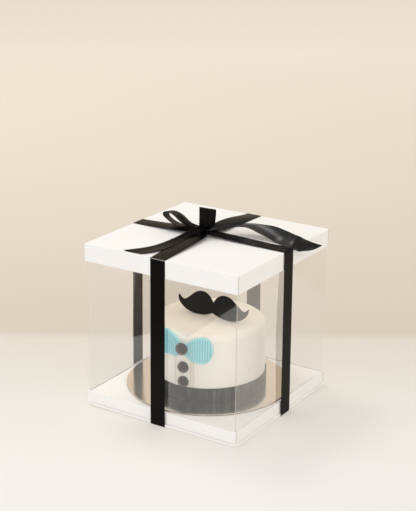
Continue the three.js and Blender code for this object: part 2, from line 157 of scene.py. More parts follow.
def square_ring(half, corner):
    """
    A rounded square: arcs of the corner radius joined by straight sides, whose points crowd
    towards the corners. Gives the points and the outward directions.
    """
    corner = min(corner, half)
    inner = half - corner
    angle = np.linspace(0, np.pi / 2, CORNER_STEPS)
    x = np.concatenate([inner + corner * np.cos(angle), inner - 2 * inner * SIDE_SHARES])
    y = np.concatenate([inner + corner * np.sin(angle), np.full(len(SIDE_SHARES), half)])
    out_x = np.concatenate([np.cos(angle), np.zeros(len(SIDE_SHARES))])
    out_y = np.concatenate([np.sin(angle), np.ones(len(SIDE_SHARES))])
    quarter = np.repeat(np.arange(4) * np.pi / 2, len(x))
    cos, sin = np.cos(quarter), np.sin(quarter)
    x, y, out_x, out_y = (np.tile(values, 4) for values in (x, y, out_x, out_y))
    points = np.stack([x * cos - y * sin, x * sin + y * cos], -1)
    outward = np.stack([out_x * cos - out_y * sin, out_x * sin + out_y * cos], -1)
    return points, outward


def square_shell(stations, push=None):
    """
    Rings of rounded squares, one for each station (half width, height, corner radius). push, if
    given, moves a ring outwards: a function of its station and points.
    """
    rings = []
    for half, height, corner in stations:
        points, outward = square_ring(half, corner)
        if push:
            points = points + outward * push(half, height, points)[:, None]
        rings.append(np.column_stack([points, np.full(RING_POINTS, height)]))
    return np.stack(rings)


def capped_faces(rows, columns):
    """The faces of stacked rings, with a lid on the first and the last ring."""
    faces = grid_faces(rows, columns, columns_closed=True)
    faces.append(list(range(columns)))
    faces.append(list(range((rows - 1) * columns, rows * columns)))
    return faces


def board_stations(low, high, corner, roll):
    """Stations of a flat board between two box corners, its upper and lower edges rolled."""
    half = (high[0] - low[0]) / 2
    angle = np.linspace(-np.pi / 2, np.pi / 2, 9)
    flat = [(half - roll - inset, 0) for inset in (half - 2 * roll, 20 * MM, 1 * MM)]
    edge = [(half - roll + roll * np.cos(a), 1 + np.sin(a)) for a in angle]
    outline = flat + edge + [(size, 2) for size, _ in reversed(flat)]
    return [(size, low[2] + share * (high[2] - low[2]) / 2, max(corner - (half - size), roll))
            for size, share in outline]


card = lined_card()
low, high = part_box("base_board")
stations = board_stations(low, high, BOARD_CORNER, BOARD_ROLL)
make("lined_base_board", square_shell(stations), capped_faces(len(stations), RING_POINTS), card,
     "base_board")

# Card tray and raised floor
# A shallow tray of folded white card, its flaps butted and glued at the corners. A second tray
# lies turned over in it, just below its rim, and makes the floor that the cake's board lies on.
CARD = 1.2 * MM
TRAY_WALL = 1.75 * MM
FOLD = 0.5 * MM
SHARP_FOLD = 0.15 * MM
RIM_ROLL = 0.35 * MM
SOFT_RIM = 0.95 * MM
FLOOR_LOOSE = 0.24 * MM
PAST_BEND = 0.3 * MM
BEFORE_BEND = 0.2 * MM
JOINT_PLACE = 1.15 * MM
JOINT_WIDTH = 0.6 * MM
JOINT_DEPTH = 0.7 * MM


def tray_stations(half, depth, wall, fold, rim):
    """
    Stations of an open tray with its underside at 0: out along the floor, round the fold and up
    the wall, over the rim, which is rounded inwards by its own radius, down the inside and back
    along the floor.
    """
    quarter = np.linspace(0, np.pi / 2, 6)
    floor = (half - fold) * np.array([0.02, 0.3, 0.55, 0.8, 0.95, 0.995])
    rise = np.linspace(fold + PAST_BEND, depth - RIM_ROLL - BEFORE_BEND, 7)
    descent = np.linspace(depth - rim - BEFORE_BEND, CARD + PAST_BEND, 7)
    outline = [(size, 0) for size in floor]
    outline += [(half - fold + fold * np.sin(a), fold - fold * np.cos(a)) for a in quarter]
    outline += [(half, height) for height in rise]
    outline += [(half - RIM_ROLL + RIM_ROLL * np.cos(a), depth - RIM_ROLL + RIM_ROLL * np.sin(a))
                for a in quarter]
    outline += [(half - wall + rim - rim * np.sin(a), depth - rim + rim * np.cos(a)) for a in quarter]
    outline += [(half - wall, height) for height in descent]
    outline += [(min(size, half - wall - BEFORE_BEND), CARD) for size in floor[::-1]]
    return [(size, height, max(FOLD - (half - size), SHARP_FOLD)) for size, height in outline]


def joint(points, half):
    """
    How much of the butted joint of two flaps is at points of a tray's plan: a bell near both ends
    of its left and right outer faces, where the front and back flaps fold round and end.
    """
    x, y = np.abs(points[..., 0]), np.abs(points[..., 1])
    return (x > half - 0.1 * CARD) * np.exp(-((half - y - JOINT_PLACE) / JOINT_WIDTH) ** 2)


def card_tray(name, node, turned_over=False, wall=CARD, fold=FOLD, rim=RIM_ROLL, loose=0.0):
    """A folded tray in its node's place, turned over if it opens downwards, grown by its looseness."""
    low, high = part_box(node)
    half, depth = (high[0] - low[0]) / 2 + loose, high[2] - low[2]
    stations = tray_stations(half, depth, wall, fold, rim)
    bare = joint(square_shell(stations), half)
    points = square_shell(stations, lambda size, height, ring: -JOINT_DEPTH * joint(ring, half))
    points[..., 2] = high[2] - points[..., 2] if turned_over else low[2] + points[..., 2]
    return make(name, points, capped_faces(len(stations), RING_POINTS), card, node,
                marks=bare)


card_tray("folded_base_tray", "base_tray", wall=TRAY_WALL, rim=SOFT_RIM)
card_tray("folded_raised_floor", "card_riser", True, fold=SHARP_FOLD, loose=FLOOR_LOOSE)

# Cake board
# A thin round board with pale champagne foil on its face. The foil is nearly a mirror, a little
# uneven, and shows the cake's foot and the ribbon upside down. The cut edge is bare brown board.
FOIL = "#f8f0e8"
BARE_BOARD = "#6e5a49"
FOIL_ROLL = 0.25 * MM
FOIL_LAP = 0.3 * MM
FOIL_DENT = 14 * MM
FOIL_GRAIN = 0.9 * MM
BOARD_COLUMNS = 240


def metal_foil(face):
    """
    Aluminium foil with a warm lacquer: a soft mirror with a broad, shallow unevenness. It gives
    way to bare board just below the height of the board's face.
    """
    material, tree = new_material("champagne_foil")
    place = add(tree, "ShaderNodeTexCoord").outputs["Object"]
    dents = add(tree, "ShaderNodeTexNoise", {"Vector": place, "Scale": 1 / FOIL_DENT, "Detail": 2.0})
    grain = add(tree, "ShaderNodeTexNoise", {"Vector": place, "Scale": 1 / FOIL_GRAIN, "Detail": 2.0})
    haze = add(tree, "ShaderNodeMapRange", {"Value": grain.outputs["Fac"], "To Min": 0.1, "To Max": 0.2})
    bump = add(tree, "ShaderNodeBump", {"Height": dents.outputs["Fac"], "Strength": 0.25,
                                        "Distance": 0.25 * MM})
    foil = add(tree, "ShaderNodeBsdfPrincipled", {
        "Base Color": linear(FOIL), "Metallic": 1.0, "Roughness": haze.outputs["Result"],
        "Normal": bump.outputs["Normal"]})
    bare = add(tree, "ShaderNodeBsdfPrincipled", {"Base Color": linear(BARE_BOARD), "Roughness": 0.8})
    height = add(tree, "ShaderNodeSeparateXYZ", {"Vector": place}).outputs["Z"]
    covered = add(tree, "ShaderNodeMath", {0: height, 1: face - FOIL_LAP}, operation="GREATER_THAN")
    whole = add(tree, "ShaderNodeMixShader", {0: covered.outputs["Value"], 1: bare.outputs["BSDF"],
                                              2: foil.outputs["BSDF"]})
    add(tree, "ShaderNodeOutputMaterial", {"Surface": whole.outputs["Shader"]})
    return material


def turned(profile, centre, steps):
    """A profile of (radius, height) carried round an upright axis, as rings of points."""
    angle = np.linspace(0, 2 * np.pi, steps, endpoint=False)
    radius, height = np.array(profile).T
    return np.stack([centre[0] + radius[:, None] * np.cos(angle),
                     centre[1] + radius[:, None] * np.sin(angle),
                     np.repeat(height[:, None], steps, 1)], -1)


low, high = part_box("cake_board")
radius = (high[0] - low[0]) / 2
rolled = radius - FOIL_ROLL
profile = [(size * rolled, low[2]) for size in (0.02, 0.6, 0.99, 1)]
profile += [(radius, low[2] + share * (high[2] - FOIL_ROLL - low[2])) for share in (0.1, 0.5, 1)]
profile += [(rolled + FOIL_ROLL * np.cos(a), high[2] - FOIL_ROLL + FOIL_ROLL * np.sin(a))
            for a in np.linspace(0, np.pi / 2, 5)[1:]]
profile += [(size * rolled, high[2]) for size in (0.99, 0.6, 0.02)]
rings = turned(profile, ((low[0] + high[0]) / 2, (low[1] + high[1]) / 2), BOARD_COLUMNS)
make("foil_cake_board", rings, capped_faces(len(profile), BOARD_COLUMNS), metal_foil(high[2]),
     "cake_board")

# Cake
# A round sponge cake under rolled sugar paste, smoothed by hand over a soft shoulder. The paste is
# matt and dry, dusted with starch, and keeps faint hollows and shallow creases from its draping.
PASTE_IVORY = "#fdf9f2"
PASTE_WARM = "#faf4e9"
SHOULDER = 8 * MM
UNEVEN = 0.22 * MM
TOP_UNEVEN = 0.25 * MM
FOOT_EVEN = 1 * MM
CAKE_TURN = np.radians(6.5)
CAKE_CREASES = [((73, 52.5), (110, 50.5), 0.9, 0.9), ((62, 26), (98, 31), 2.2, 0.7)]
CAKE_COLUMNS = 360
PASTE_BLOTCH = 18 * MM
PASTE_DUST = 0.5 * MM
PASTE_SWELL = 6 * MM
SMEAR_WIDE = 4.17 * MM
SMEAR_HIGH = 22.2 * MM

cake_low, cake_high = (np.array(corner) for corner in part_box("cake"))
cake_centre = (cake_low + cake_high) / 2
cake_radius = (cake_high[0] - cake_low[0]) / 2
cake_foot = cake_low[2]


def sugar_paste(name, light, dark, roughness, blotch=PASTE_BLOTCH, starch_and_sheen=None, mark=None):
    """
    Rolled sugar paste: matt, in two close tones that drift over it, with a dusty fine grain. The
    smear colour, if given, shows in upright smears, partly starch dust and partly painted sheen,
    and that of the mark where it is marked.
    """
    material, tree = new_material(name)
    place = add(tree, "ShaderNodeTexCoord").outputs["Object"]
    drift = add(tree, "ShaderNodeTexNoise", {"Vector": place, "Scale": 1 / blotch, "Detail": 3.0})
    tone = add(tree, "ShaderNodeMix", {"Factor": drift.outputs["Fac"], "A": linear(light),
                                       "B": linear(dark)}, data_type="RGBA")
    if starch_and_sheen:
        upright = add(tree, "ShaderNodeMapping", {
            "Vector": place, "Scale": (1 / SMEAR_WIDE, 1 / SMEAR_WIDE, 1 / SMEAR_HIGH)})
        smear = add(tree, "ShaderNodeTexNoise", {"Vector": upright.outputs["Vector"], "Scale": 1.0,
                                                 "Detail": 3.0})
        share = add(tree, "ShaderNodeMapRange", {"Value": smear.outputs["Fac"], "From Min": 0.42,
                                                 "From Max": 0.85})
        tone = add(tree, "ShaderNodeMix", {"Factor": share.outputs["Result"],
                                           "A": tone.outputs["Result"],
                                           "B": linear(starch_and_sheen)}, data_type="RGBA")
    if mark:
        tone = add(tree, "ShaderNodeMix", {"Factor": marked(tree), "A": tone.outputs["Result"],
                                           "B": linear(mark)}, data_type="RGBA")
    dust = add(tree, "ShaderNodeTexNoise", {"Vector": place, "Scale": 1 / PASTE_DUST, "Detail": 3.0})
    swell = add(tree, "ShaderNodeTexNoise", {"Vector": place, "Scale": 1 / PASTE_SWELL, "Detail": 2.0})
    relief = add(tree, "ShaderNodeMath", {0: dust.outputs["Fac"], 1: 0.25, 2: swell.outputs["Fac"]},
                 operation="MULTIPLY_ADD")
    bump = add(tree, "ShaderNodeBump", {"Height": relief.outputs["Value"], "Strength": 0.25,
                                        "Distance": 0.12 * MM})
    paste = add(tree, "ShaderNodeBsdfPrincipled", {
        "Base Color": tone.outputs["Result"], "Roughness": roughness, "Specular IOR Level": 0.3,
        "Normal": bump.outputs["Normal"]})
    add(tree, "ShaderNodeOutputMaterial", {"Surface": paste.outputs["BSDF"]})
    return material


def on_cake(arc, up, out):
    """
    Points of the cake's own frame: arc lengths round its side from its front, measured at its
    radius, heights over its foot and distances from its axis.
    """
    angle = arc / cake_radius + CAKE_TURN
    return np.stack([cake_centre[0] + out * np.sin(angle), cake_centre[1] - out * np.cos(angle),
                     cake_foot + up + 0 * arc], -1)


def crease(arc, up, start, end, width, depth):
    """
    A groove with a soft section along the line from start to end, both (arc, height). It fades out
    over the first and the last quarter. Its places and sizes are in millimetres.
    """
    line = np.subtract(end, start)
    right, above = arc / MM - start[0], up / MM - start[1]
    share = (right * line[0] + above * line[1]) / (line @ line)
    off = (above * line[0] - right * line[1]) / np.hypot(*line)
    fade = np.clip(np.minimum(share, 1 - share) * 4, 0, 1)
    return depth * MM * fade * np.exp(-(off / width) ** 2)


def round_cake(profile, columns):
    """
    A profile of (distance from the axis, height) carried round the cake, as three grids: the
    distances, the heights and the arc lengths from the front.
    """
    out, up = (np.repeat(np.array(values)[:, None], columns, 1) for values in zip(*profile))
    return out, up, cake_radius * np.linspace(-np.pi, np.pi, columns, endpoint=False)[None, :] + 0 * up


cake_height = cake_high[2] - cake_low[2]
turn_over = np.linspace(0, np.pi / 2, 15)
side = np.linspace(0, cake_height - SHOULDER, 130)
cake_profile = [(cake_radius * size, 0) for size in (0.02, 0.7, 0.985)]
cake_profile += [(cake_radius, height) for height in side]
cake_profile += [(cake_radius - SHOULDER * (1 - np.cos(a)), cake_height - SHOULDER * (1 - np.sin(a)))
                 for a in turn_over[1:]]
cake_profile += [((cake_radius - SHOULDER) * size, cake_height)
                 for size in (0.97, 0.9, 0.8, 0.68, 0.54, 0.4, 0.26, 0.12, 0.02)]
out, up, arc = round_cake(cake_profile, CAKE_COLUMNS)
angle = arc / cake_radius
drape = (np.sin(2 * angle + 0.7) * np.sin(up / (21 * MM) + 1) + np.sin(5 * angle + up / (15 * MM))
         + 0.6 * np.sin(9 * angle - up / (11 * MM) + 2)) / 2.6
dips = UNEVEN * (drape - 1) * (out > 0.7 * cake_radius) * (up > FOOT_EVEN)
dips -= sum(crease(arc, up, *course) for course in CAKE_CREASES)
top = np.clip((up - cake_height + SHOULDER) / SHOULDER, 0, 1)
swirl = np.sin(3 * angle + out / (14 * MM)) + np.sin(out / (9 * MM) - angle)
sink = TOP_UNEVEN * top * (swirl - 2) / 2
cake_points = on_cake(arc, up + sink, out + dips)
ivory = sugar_paste("ivory_sugar_paste", PASTE_IVORY, PASTE_WARM, 0.62)
make("sugar_paste_cake", cake_points, capped_faces(len(cake_profile), CAKE_COLUMNS), ivory,
     "cake")

# Waist band
# A strip of charcoal sugar paste rolled thin and laid round the cake's foot. It is a little
# stretched and wrinkled, its top edge not quite true, and its ends meet at the back.
PASTE_CHARCOAL = "#1b221c"
PASTE_SOOT = "#141916"
STARCH_AND_SHEEN_GREY = "#5c6058"
BAND_OUT = 0.3 * MM
BAND_THICK = 1.1 * MM
BAND_EVEN = 1.2 * MM
BAND_WAVE = 0.25 * MM
BAND_WRINKLE = 0.1 * MM
BAND_BLOTCH = 9 * MM
BAND_COLUMNS = 420
BAND_ENDS = ((-0.2, -9), (0.4, 26), 0.5, 0.6)
BAND_TUCKS = [((22, -1), (42, 14), 0.7, 0.5), ((-30, 9), (6, 3), 0.8, 0.35), ((66, 4), (104, 12), 0.9, 0.4)]

# Its pale upright smears are partly starch dust and partly painted sheen.
charcoal = sugar_paste("charcoal_sugar_paste", PASTE_CHARCOAL, PASTE_SOOT, 0.5, BAND_BLOTCH,
                       STARCH_AND_SHEEN_GREY)
low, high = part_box("waist_band")
band_height = high[2] - low[2]
corner_turn = np.linspace(0, np.pi / 2, 5)
band_soft = BAND_THICK / 2
band_profile = [(0, 0), (BAND_THICK - band_soft, 0)]
band_profile += [(BAND_THICK - band_soft + band_soft * np.sin(a), band_soft * (1 - np.cos(a)))
                 for a in corner_turn]
band_profile += [(BAND_THICK, height) for height in np.linspace(BAND_EVEN, band_height - BAND_EVEN, 14)]
band_profile += [(BAND_THICK - band_soft * (1 - np.cos(a)), band_height - band_soft * (1 - np.sin(a)))
                 for a in corner_turn]
band_profile += [(0, band_height)]
out, up, arc = round_cake(band_profile, BAND_COLUMNS)
angle = arc / cake_radius
wrinkle = np.sin(23 * angle + up / (4 * MM)) * np.sin(3 * angle + 1) + np.sin(11 * angle - up / (7 * MM))
outer = np.clip(out / BAND_THICK, 0, 1)
wave = -BAND_WAVE * (1 + np.sin(4 * angle + 1)) / 2 * up / band_height
ends = crease(arc - cake_radius * np.pi * np.sign(arc), up, *BAND_ENDS)
tucks = sum(crease(arc, up, *course) for course in BAND_TUCKS)
band_out = cake_radius + BAND_OUT + out + outer * (BAND_WRINKLE * (wrinkle / 2 - 1) - ends - tucks)
make("sugar_paste_band", on_cake(arc, up + wave, band_out),
     grid_faces(len(band_profile), BAND_COLUMNS, True, True), charcoal,
     "waist_band")

# Shirt placket
# A strip of the ivory paste laid down the cake's front and run over with a stitching wheel near
# both edges, as the button strip of a shirt is sewn. Its top is cut to the lower edge of the bow
# tie, whose outline is worked out here for both.
PLACKET_HALF = 12 * MM
PLACKET_THICK = 1.5 * MM
PLATE_BACK = 0.3 * MM
PLACKET_SOFT = 0.4 * MM
PLACKET_GAP = 0.25 * MM
STITCH_OFFSET = 9.2 * MM
STITCH_MARGIN = 0.8 * MM
STITCH_WIDTH = 0.5 * MM
STITCH_DEPTH = 1.1 * MM
STITCH_PITCH = 2.3 * MM
STITCH_LENGTH = 1.7 * MM
STITCH_SHADE_SHARE = 0.6
# Painted shade: the darker colour of the stitch holes and of the placket's cut edge.
PASTE_PAINTED_SHADE = "#a89a86"
CUT_SHADE_SHARE = 0.8
CUT_SHADE_WIDTH = 0.5 * MM
TIE_MIDDLE = 64 * MM
TIE_HALF = 34 * MM
TIE_LOBE = 16 * MM
TIE_WAIST = 6.6 * MM
TIE_FLAT = 9.2 * MM
TIE_FLAT_SPREAD = 8 * MM
TIE_DROP = 2.2 * MM
TIE_TILT = np.radians(-4)
LOBE_SHARE = 0.68
LOBE_INWARD = 0.62


def tie_half_height(share, below):
    """
    The bow tie's half height at a signed share of its half length: each lobe is two half ellipses
    back to back, a long one towards the waist and a short one towards the end. The left lobe is
    cut flatter below.
    """
    outward = np.abs(share)
    reach = np.where(outward < LOBE_SHARE, LOBE_INWARD, 1 - LOBE_SHARE)
    lobe = TIE_LOBE * np.sqrt(np.clip(1 - ((outward - LOBE_SHARE) / reach) ** 2, 0.0004, 1))
    lobe = np.where(below & (share < 0), np.minimum(lobe, TIE_FLAT + TIE_FLAT_SPREAD * outward), lobe)
    return np.where(outward < LOBE_SHARE, np.maximum(lobe, TIE_WAIST), lobe)


def tie_place(along, up):
    """Arc and height of a point of the tie, from its place along and over its tilted middle line."""
    middle = up - TIE_DROP * np.clip(1 - np.abs(along) / TIE_HALF / 0.6, 0, 1)
    return (along * np.cos(TIE_TILT) - middle * np.sin(TIE_TILT),
            TIE_MIDDLE + along * np.sin(TIE_TILT) + middle * np.cos(TIE_TILT))


def pillow(distance, soft):
    """Share of the full thickness at a distance from the edge: a quarter circle as wide as soft."""
    return np.sqrt(1 - (1 - np.clip(distance / soft, 0, 1)) ** 2)


def back_to_back(rows, columns, columns_closed=False):
    """The faces of a grid of points, and of a second grid behind it, turned the other way."""
    faces = np.array(grid_faces(rows, columns, columns_closed=columns_closed))
    return faces.tolist() + (faces[:, ::-1] + rows * columns).tolist()


def plate(name, arc, up, thickness, marks, material, node):
    """
    A plate on the cake's side, its back at PLATE_BACK from the cake and its marked front raised
    from that by the thickness array, which ends in 0 all round.
    """
    front = on_cake(arc, up, cake_radius + PLATE_BACK + thickness)
    behind = on_cake(arc, up, cake_radius + PLATE_BACK + 0 * thickness)
    return make(name, np.stack([front, behind]), back_to_back(*arc.shape), material, node,
                marks=np.stack([marks, 0 * marks]))


def crowded(count):
    """Values from -1 to 1 that crowd towards both ends, as the cosine of even angles does."""
    return -np.cos(np.linspace(0, np.pi, count))


def crowded_ends(margin, few, many):
    """Values from 0 to 1: many even ones, and a few that crowd within a margin of each end."""
    end = margin * (crowded(few) + 1) / 2
    return np.unique(np.concatenate([end, np.linspace(margin, 1 - margin, many), 1 - end]).round(9))


column, row = np.meshgrid(2 * crowded_ends(0.03, 9, 110) - 1, crowded_ends(0.02, 7, 100))
arc = column * PLACKET_HALF
low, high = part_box("shirt_placket")
placket_low = low[2] - cake_foot
leaning = arc - tie_half_height(arc / TIE_HALF, True) * np.sin(TIE_TILT)
under_tie = tie_place(leaning, -tie_half_height(leaning / TIE_HALF, True))[1]
up = placket_low + row * (under_tie - PLACKET_GAP - placket_low)
edge = np.minimum((1 - np.abs(column)) * PLACKET_HALF,
                  np.minimum(row, 1 - row) * (under_tie - placket_low))
thread = np.exp(-((np.abs(arc) - STITCH_OFFSET) / STITCH_WIDTH) ** 2)
beat = np.abs((up / STITCH_PITCH) % 1 - 0.5) * STITCH_PITCH < STITCH_LENGTH / 2
sewn = thread * beat * (edge > STITCH_MARGIN)
thickness = PLACKET_THICK * pillow(edge, PLACKET_SOFT) - STITCH_DEPTH * sewn
# The stitch holes and the cut edge are painted darker, as painted shade in the holes and along the edge.
cut = CUT_SHADE_SHARE * (1 - np.clip(edge / CUT_SHADE_WIDTH, 0, 1))
stitched_ivory = sugar_paste("stitched_ivory_paste", PASTE_IVORY, PASTE_WARM, 0.62, mark=PASTE_PAINTED_SHADE)
plate("sugar_paste_placket", arc, up, thickness, np.maximum(STITCH_SHADE_SHARE * sewn, cut), stitched_ivory,
      "shirt_placket")

# Bow tie
# Turquoise sugar paste cut to a bow tie, pressed with upright grooves inside a smooth rim, and laid
# round the curve of the cake. It is matt, with painted shade in the grooves, and its cut edge is rounded by
# fingers.
PASTE_TURQUOISE = "#b6eff5"
PASTE_TEAL = "#9de4eb"
TIE_THICK = 3.0 * MM
TIE_SOFT = 1.1 * MM
TIE_RIM = 2.0 * MM
RIM_STEP = 0.5 * MM
RIB_PITCH = 2.8 * MM
PASTE_GROOVE_SHADE = "#5fabb9"
GROOVE_SHADE_SHARE = 0.6
RIB_DEPTH = 1.7 * MM

across, over = np.meshgrid(np.sin(np.linspace(-np.pi / 2, np.pi / 2, 240)), crowded(90))
half_height = tie_half_height(across, over < 0)
arc, up = tie_place(across * TIE_HALF, over * half_height)
edge = np.minimum((1 - np.abs(over)) * half_height, (1 - np.abs(across)) * TIE_HALF * 1.4)
inside = np.clip((edge - TIE_RIM) / RIM_STEP, 0, 1)
groove = np.abs(np.cos(np.pi * arc / RIB_PITCH)) ** 12
crown = 0.82 + 0.18 * np.cos(np.pi / 2 * over) * np.clip(np.abs(across) * 2, 0, 1)
thickness = TIE_THICK * crown * pillow(edge, TIE_SOFT) - RIB_DEPTH * groove * inside
turquoise = sugar_paste("turquoise_sugar_paste", PASTE_TURQUOISE, PASTE_TEAL, 0.6, mark=PASTE_GROOVE_SHADE)
# The grooves are painted a deeper teal, as painted shade in the recesses.
plate("sugar_paste_bow_tie", arc, up, thickness, GROOVE_SHADE_SHARE * groove * inside, turquoise,
      "bow_tie")

# Buttons
# Charcoal sugar paste discs cut with a round cutter, their rims raised by a smaller ring and four
# holes pricked through the middle. One covers the tie's waist, two more run down the placket. Each
# has its radius, its place across and up the cake's front, and its distance from the cake.
BUTTON_CHARCOAL = "#12100f"
BUTTON_RIM_HIGHLIGHT = "#827d73"
BUTTONS = {"button_top": (7.0, -0.3, 63.2, 3.6), "button_middle": (6.6, 0.7, 40.8, 1.9),
           "button_bottom": (6.6, 1.0, 23.2, 1.9)}
BUTTON_THICK = 2.8 * MM
BUTTON_EDGE = 0.6 * MM
BUTTON_RIM = 1.3 * MM
BUTTON_DISH = 1.5 * MM
HOLE_RADIUS = 1.0 * MM
HOLE_SPACING = 3.2 * MM
HOLE_DEPTH = 1.4 * MM
HOLE_SLOPE = 0.3 * MM
BUTTON_RINGS = 56
BUTTON_COLUMNS = 144


def button_face(radius, x, y):
    """
    The front height of a button: a pillow edge, then a dish that falls off inside the rim by a
    smooth step, sunk once more in four round holes. Also gives where it is painted paler as a
    highlight: a ring round the dish, and a little inside it.
    """
    from_edge = radius - np.hypot(x, y)
    dished = np.clip((from_edge - BUTTON_RIM) / BUTTON_EDGE, 0, 1)
    from_hole = np.hypot(np.abs(x) - HOLE_SPACING / 2, np.abs(y) - HOLE_SPACING / 2)
    pricked = np.clip((HOLE_RADIUS - from_hole) / HOLE_SLOPE + 0.5, 0, 1)
    height = (BUTTON_THICK * pillow(from_edge, BUTTON_EDGE) - BUTTON_DISH * dished ** 2 * (3 - 2 * dished)
              - HOLE_DEPTH * pricked)
    ring = np.exp(-((from_edge - 1.2 * BUTTON_RIM) / (0.38 * BUTTON_RIM)) ** 2)
    within = 0.2 * np.clip((from_edge - 2.2 * BUTTON_RIM) / BUTTON_EDGE, 0, 1) * (1 - pricked)
    return height, np.maximum(ring, within)


# The mark colour is a painted highlight: a paler ring on the rim and a little paler in the dish.
button_paste = sugar_paste("button_sugar_paste", BUTTON_CHARCOAL, BUTTON_CHARCOAL, 0.4,
                           mark=BUTTON_RIM_HIGHLIGHT)
facing = np.array([np.sin(CAKE_TURN), -np.cos(CAKE_TURN), 0])
rightward = np.array([np.cos(CAKE_TURN), np.sin(CAKE_TURN), 0])
for node, (radius, place_across, rise, back) in BUTTONS.items():
    size = radius * MM * np.sin(np.linspace(0.02, 1, BUTTON_RINGS) * np.pi / 2)[:, None]
    angle = np.linspace(0, 2 * np.pi, BUTTON_COLUMNS, endpoint=False)[None, :]
    x, y = size * np.cos(angle), size * np.sin(angle)
    face_height, rim_highlight = button_face(radius * MM, x, y)
    height, rim_highlight = np.stack([face_height, 0 * x]), np.stack([rim_highlight, 0 * x])
    centre = (cake_centre * (1, 1, 0) + facing * (cake_radius + back * MM) + rightward * place_across * MM
              + np.array([0, 0, cake_foot + rise * MM]))
    points = (centre + np.stack([x, x])[..., None] * rightward + height[..., None] * facing
              + np.stack([y, y])[..., None] * np.array([0, 0, 1]))
    faces = back_to_back(BUTTON_RINGS, BUTTON_COLUMNS, True)
    faces += [list(range(start, start + BUTTON_COLUMNS)) for start in (0, BUTTON_RINGS * BUTTON_COLUMNS)]
    make("sugar_paste_" + node, points, faces, button_paste, node, marks=rim_highlight)

# Moustache topper
# A curled moustache cut from a sheet of black sugar paste, dried hard and stood on its edge across
# the top of the cake. It is matt, with softly rounded cut edges. Its upper and lower outlines are
# given from the middle to the tip, as shares of its half length and its height.
PASTE_BLACK = "#0e0a09"
PASTE_COAL = "#090606"
TOPPER_THICK = 4.0 * MM
TOPPER_SOFT = 0.9 * MM
TOPPER_TURN = np.radians(0.5)
UPPER = [(0, 0.58), (0.13, 0.88), (0.3, 1), (0.49, 0.93), (0.67, 0.69), (0.81, 0.52), (0.91, 0.53),
         (1, 0.67)]
LOWER = [(0, 0.16), (0.2, 0.04), (0.41, 0), (0.6, 0.02), (0.77, 0.105), (0.91, 0.27), (0.985, 0.46),
         (1, 0.67)]


def through(keys, count):
    """
    A smooth curve through all keys: between two keys, the cubic whose slope at each key is half
    the step from the key before it to the key after it.
    """
    keys = np.array(keys, dtype=float)
    padded = np.concatenate([2 * keys[:1] - keys[1:2], keys, 2 * keys[-1:] - keys[-2:-1]])
    place = np.linspace(0, len(keys) - 1, count)
    start = np.minimum(place.astype(int), len(keys) - 2)
    t = (place - start)[:, None]
    a, b, c, d = (padded[start + step] for step in range(4))
    cubic = (3 * b - a - 3 * c + d) * t ** 3 + (2 * a - 5 * b + 4 * c - d) * t ** 2 + (c - a) * t
    return b + cubic / 2


low, high = (np.array(corner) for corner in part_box("moustache_topper"))
topper_half, topper_height = (high[0] - low[0]) / 2, high[2] - low[2]
upper, lower = through(UPPER, 90), through(LOWER, 90)
upper, lower = (np.concatenate([curve[:0:-1] * (-1, 1), curve]) for curve in (upper, lower))
rise = ((crowded(40) + 1) / 2)[:, None, None]
flat = (lower + (upper - lower) * rise) * (topper_half, topper_height)
gap = np.linalg.norm((upper - lower) * (topper_half, topper_height), axis=-1)
edge = np.minimum(rise[..., 0], 1 - rise[..., 0]) * gap
swell = TOPPER_THICK / 2 * pillow(edge, TOPPER_SOFT)
middle = (low + high) / 2
cos, sin = np.cos(TOPPER_TURN), np.sin(TOPPER_TURN)
sides = [np.stack([middle[0] + flat[..., 0] * cos - depth * sin,
                   middle[1] + flat[..., 0] * sin + depth * cos, low[2] + flat[..., 1]], -1)
         for depth in (-swell, swell)]
make("sugar_paste_moustache", np.stack(sides), back_to_back(*flat.shape[:2]),
     sugar_paste("black_sugar_paste", PASTE_BLACK, PASTE_COAL, 0.5), "moustache_topper")

# Clear sleeve
# The box's walls: one sheet of clear plastic, half a millimetre thick, folded at three corners and
# glued with a lap at the fourth; the lap is not drawn, and all four corners are folded alike. It is
# pinched a little hollow by the ribbon and turns milky where it is creased.
FILM_WALL = 0.5 * MM
FILM_FOLD = 0.7 * MM
FILM_HOLLOW = 1.0 * MM
FILM_ROUGHNESS = 0.03
MIRROR_HEAD_ON = 0.105
MIRROR_TURNED = 0.88
MIRROR_POWER = 2.5
CREASE_MILK = "#cfc6bc"
CREASE_WIDTH = 0.35 * MM
CREASE_SHARE = 0.6
BLOOM_SHARE = 0.11


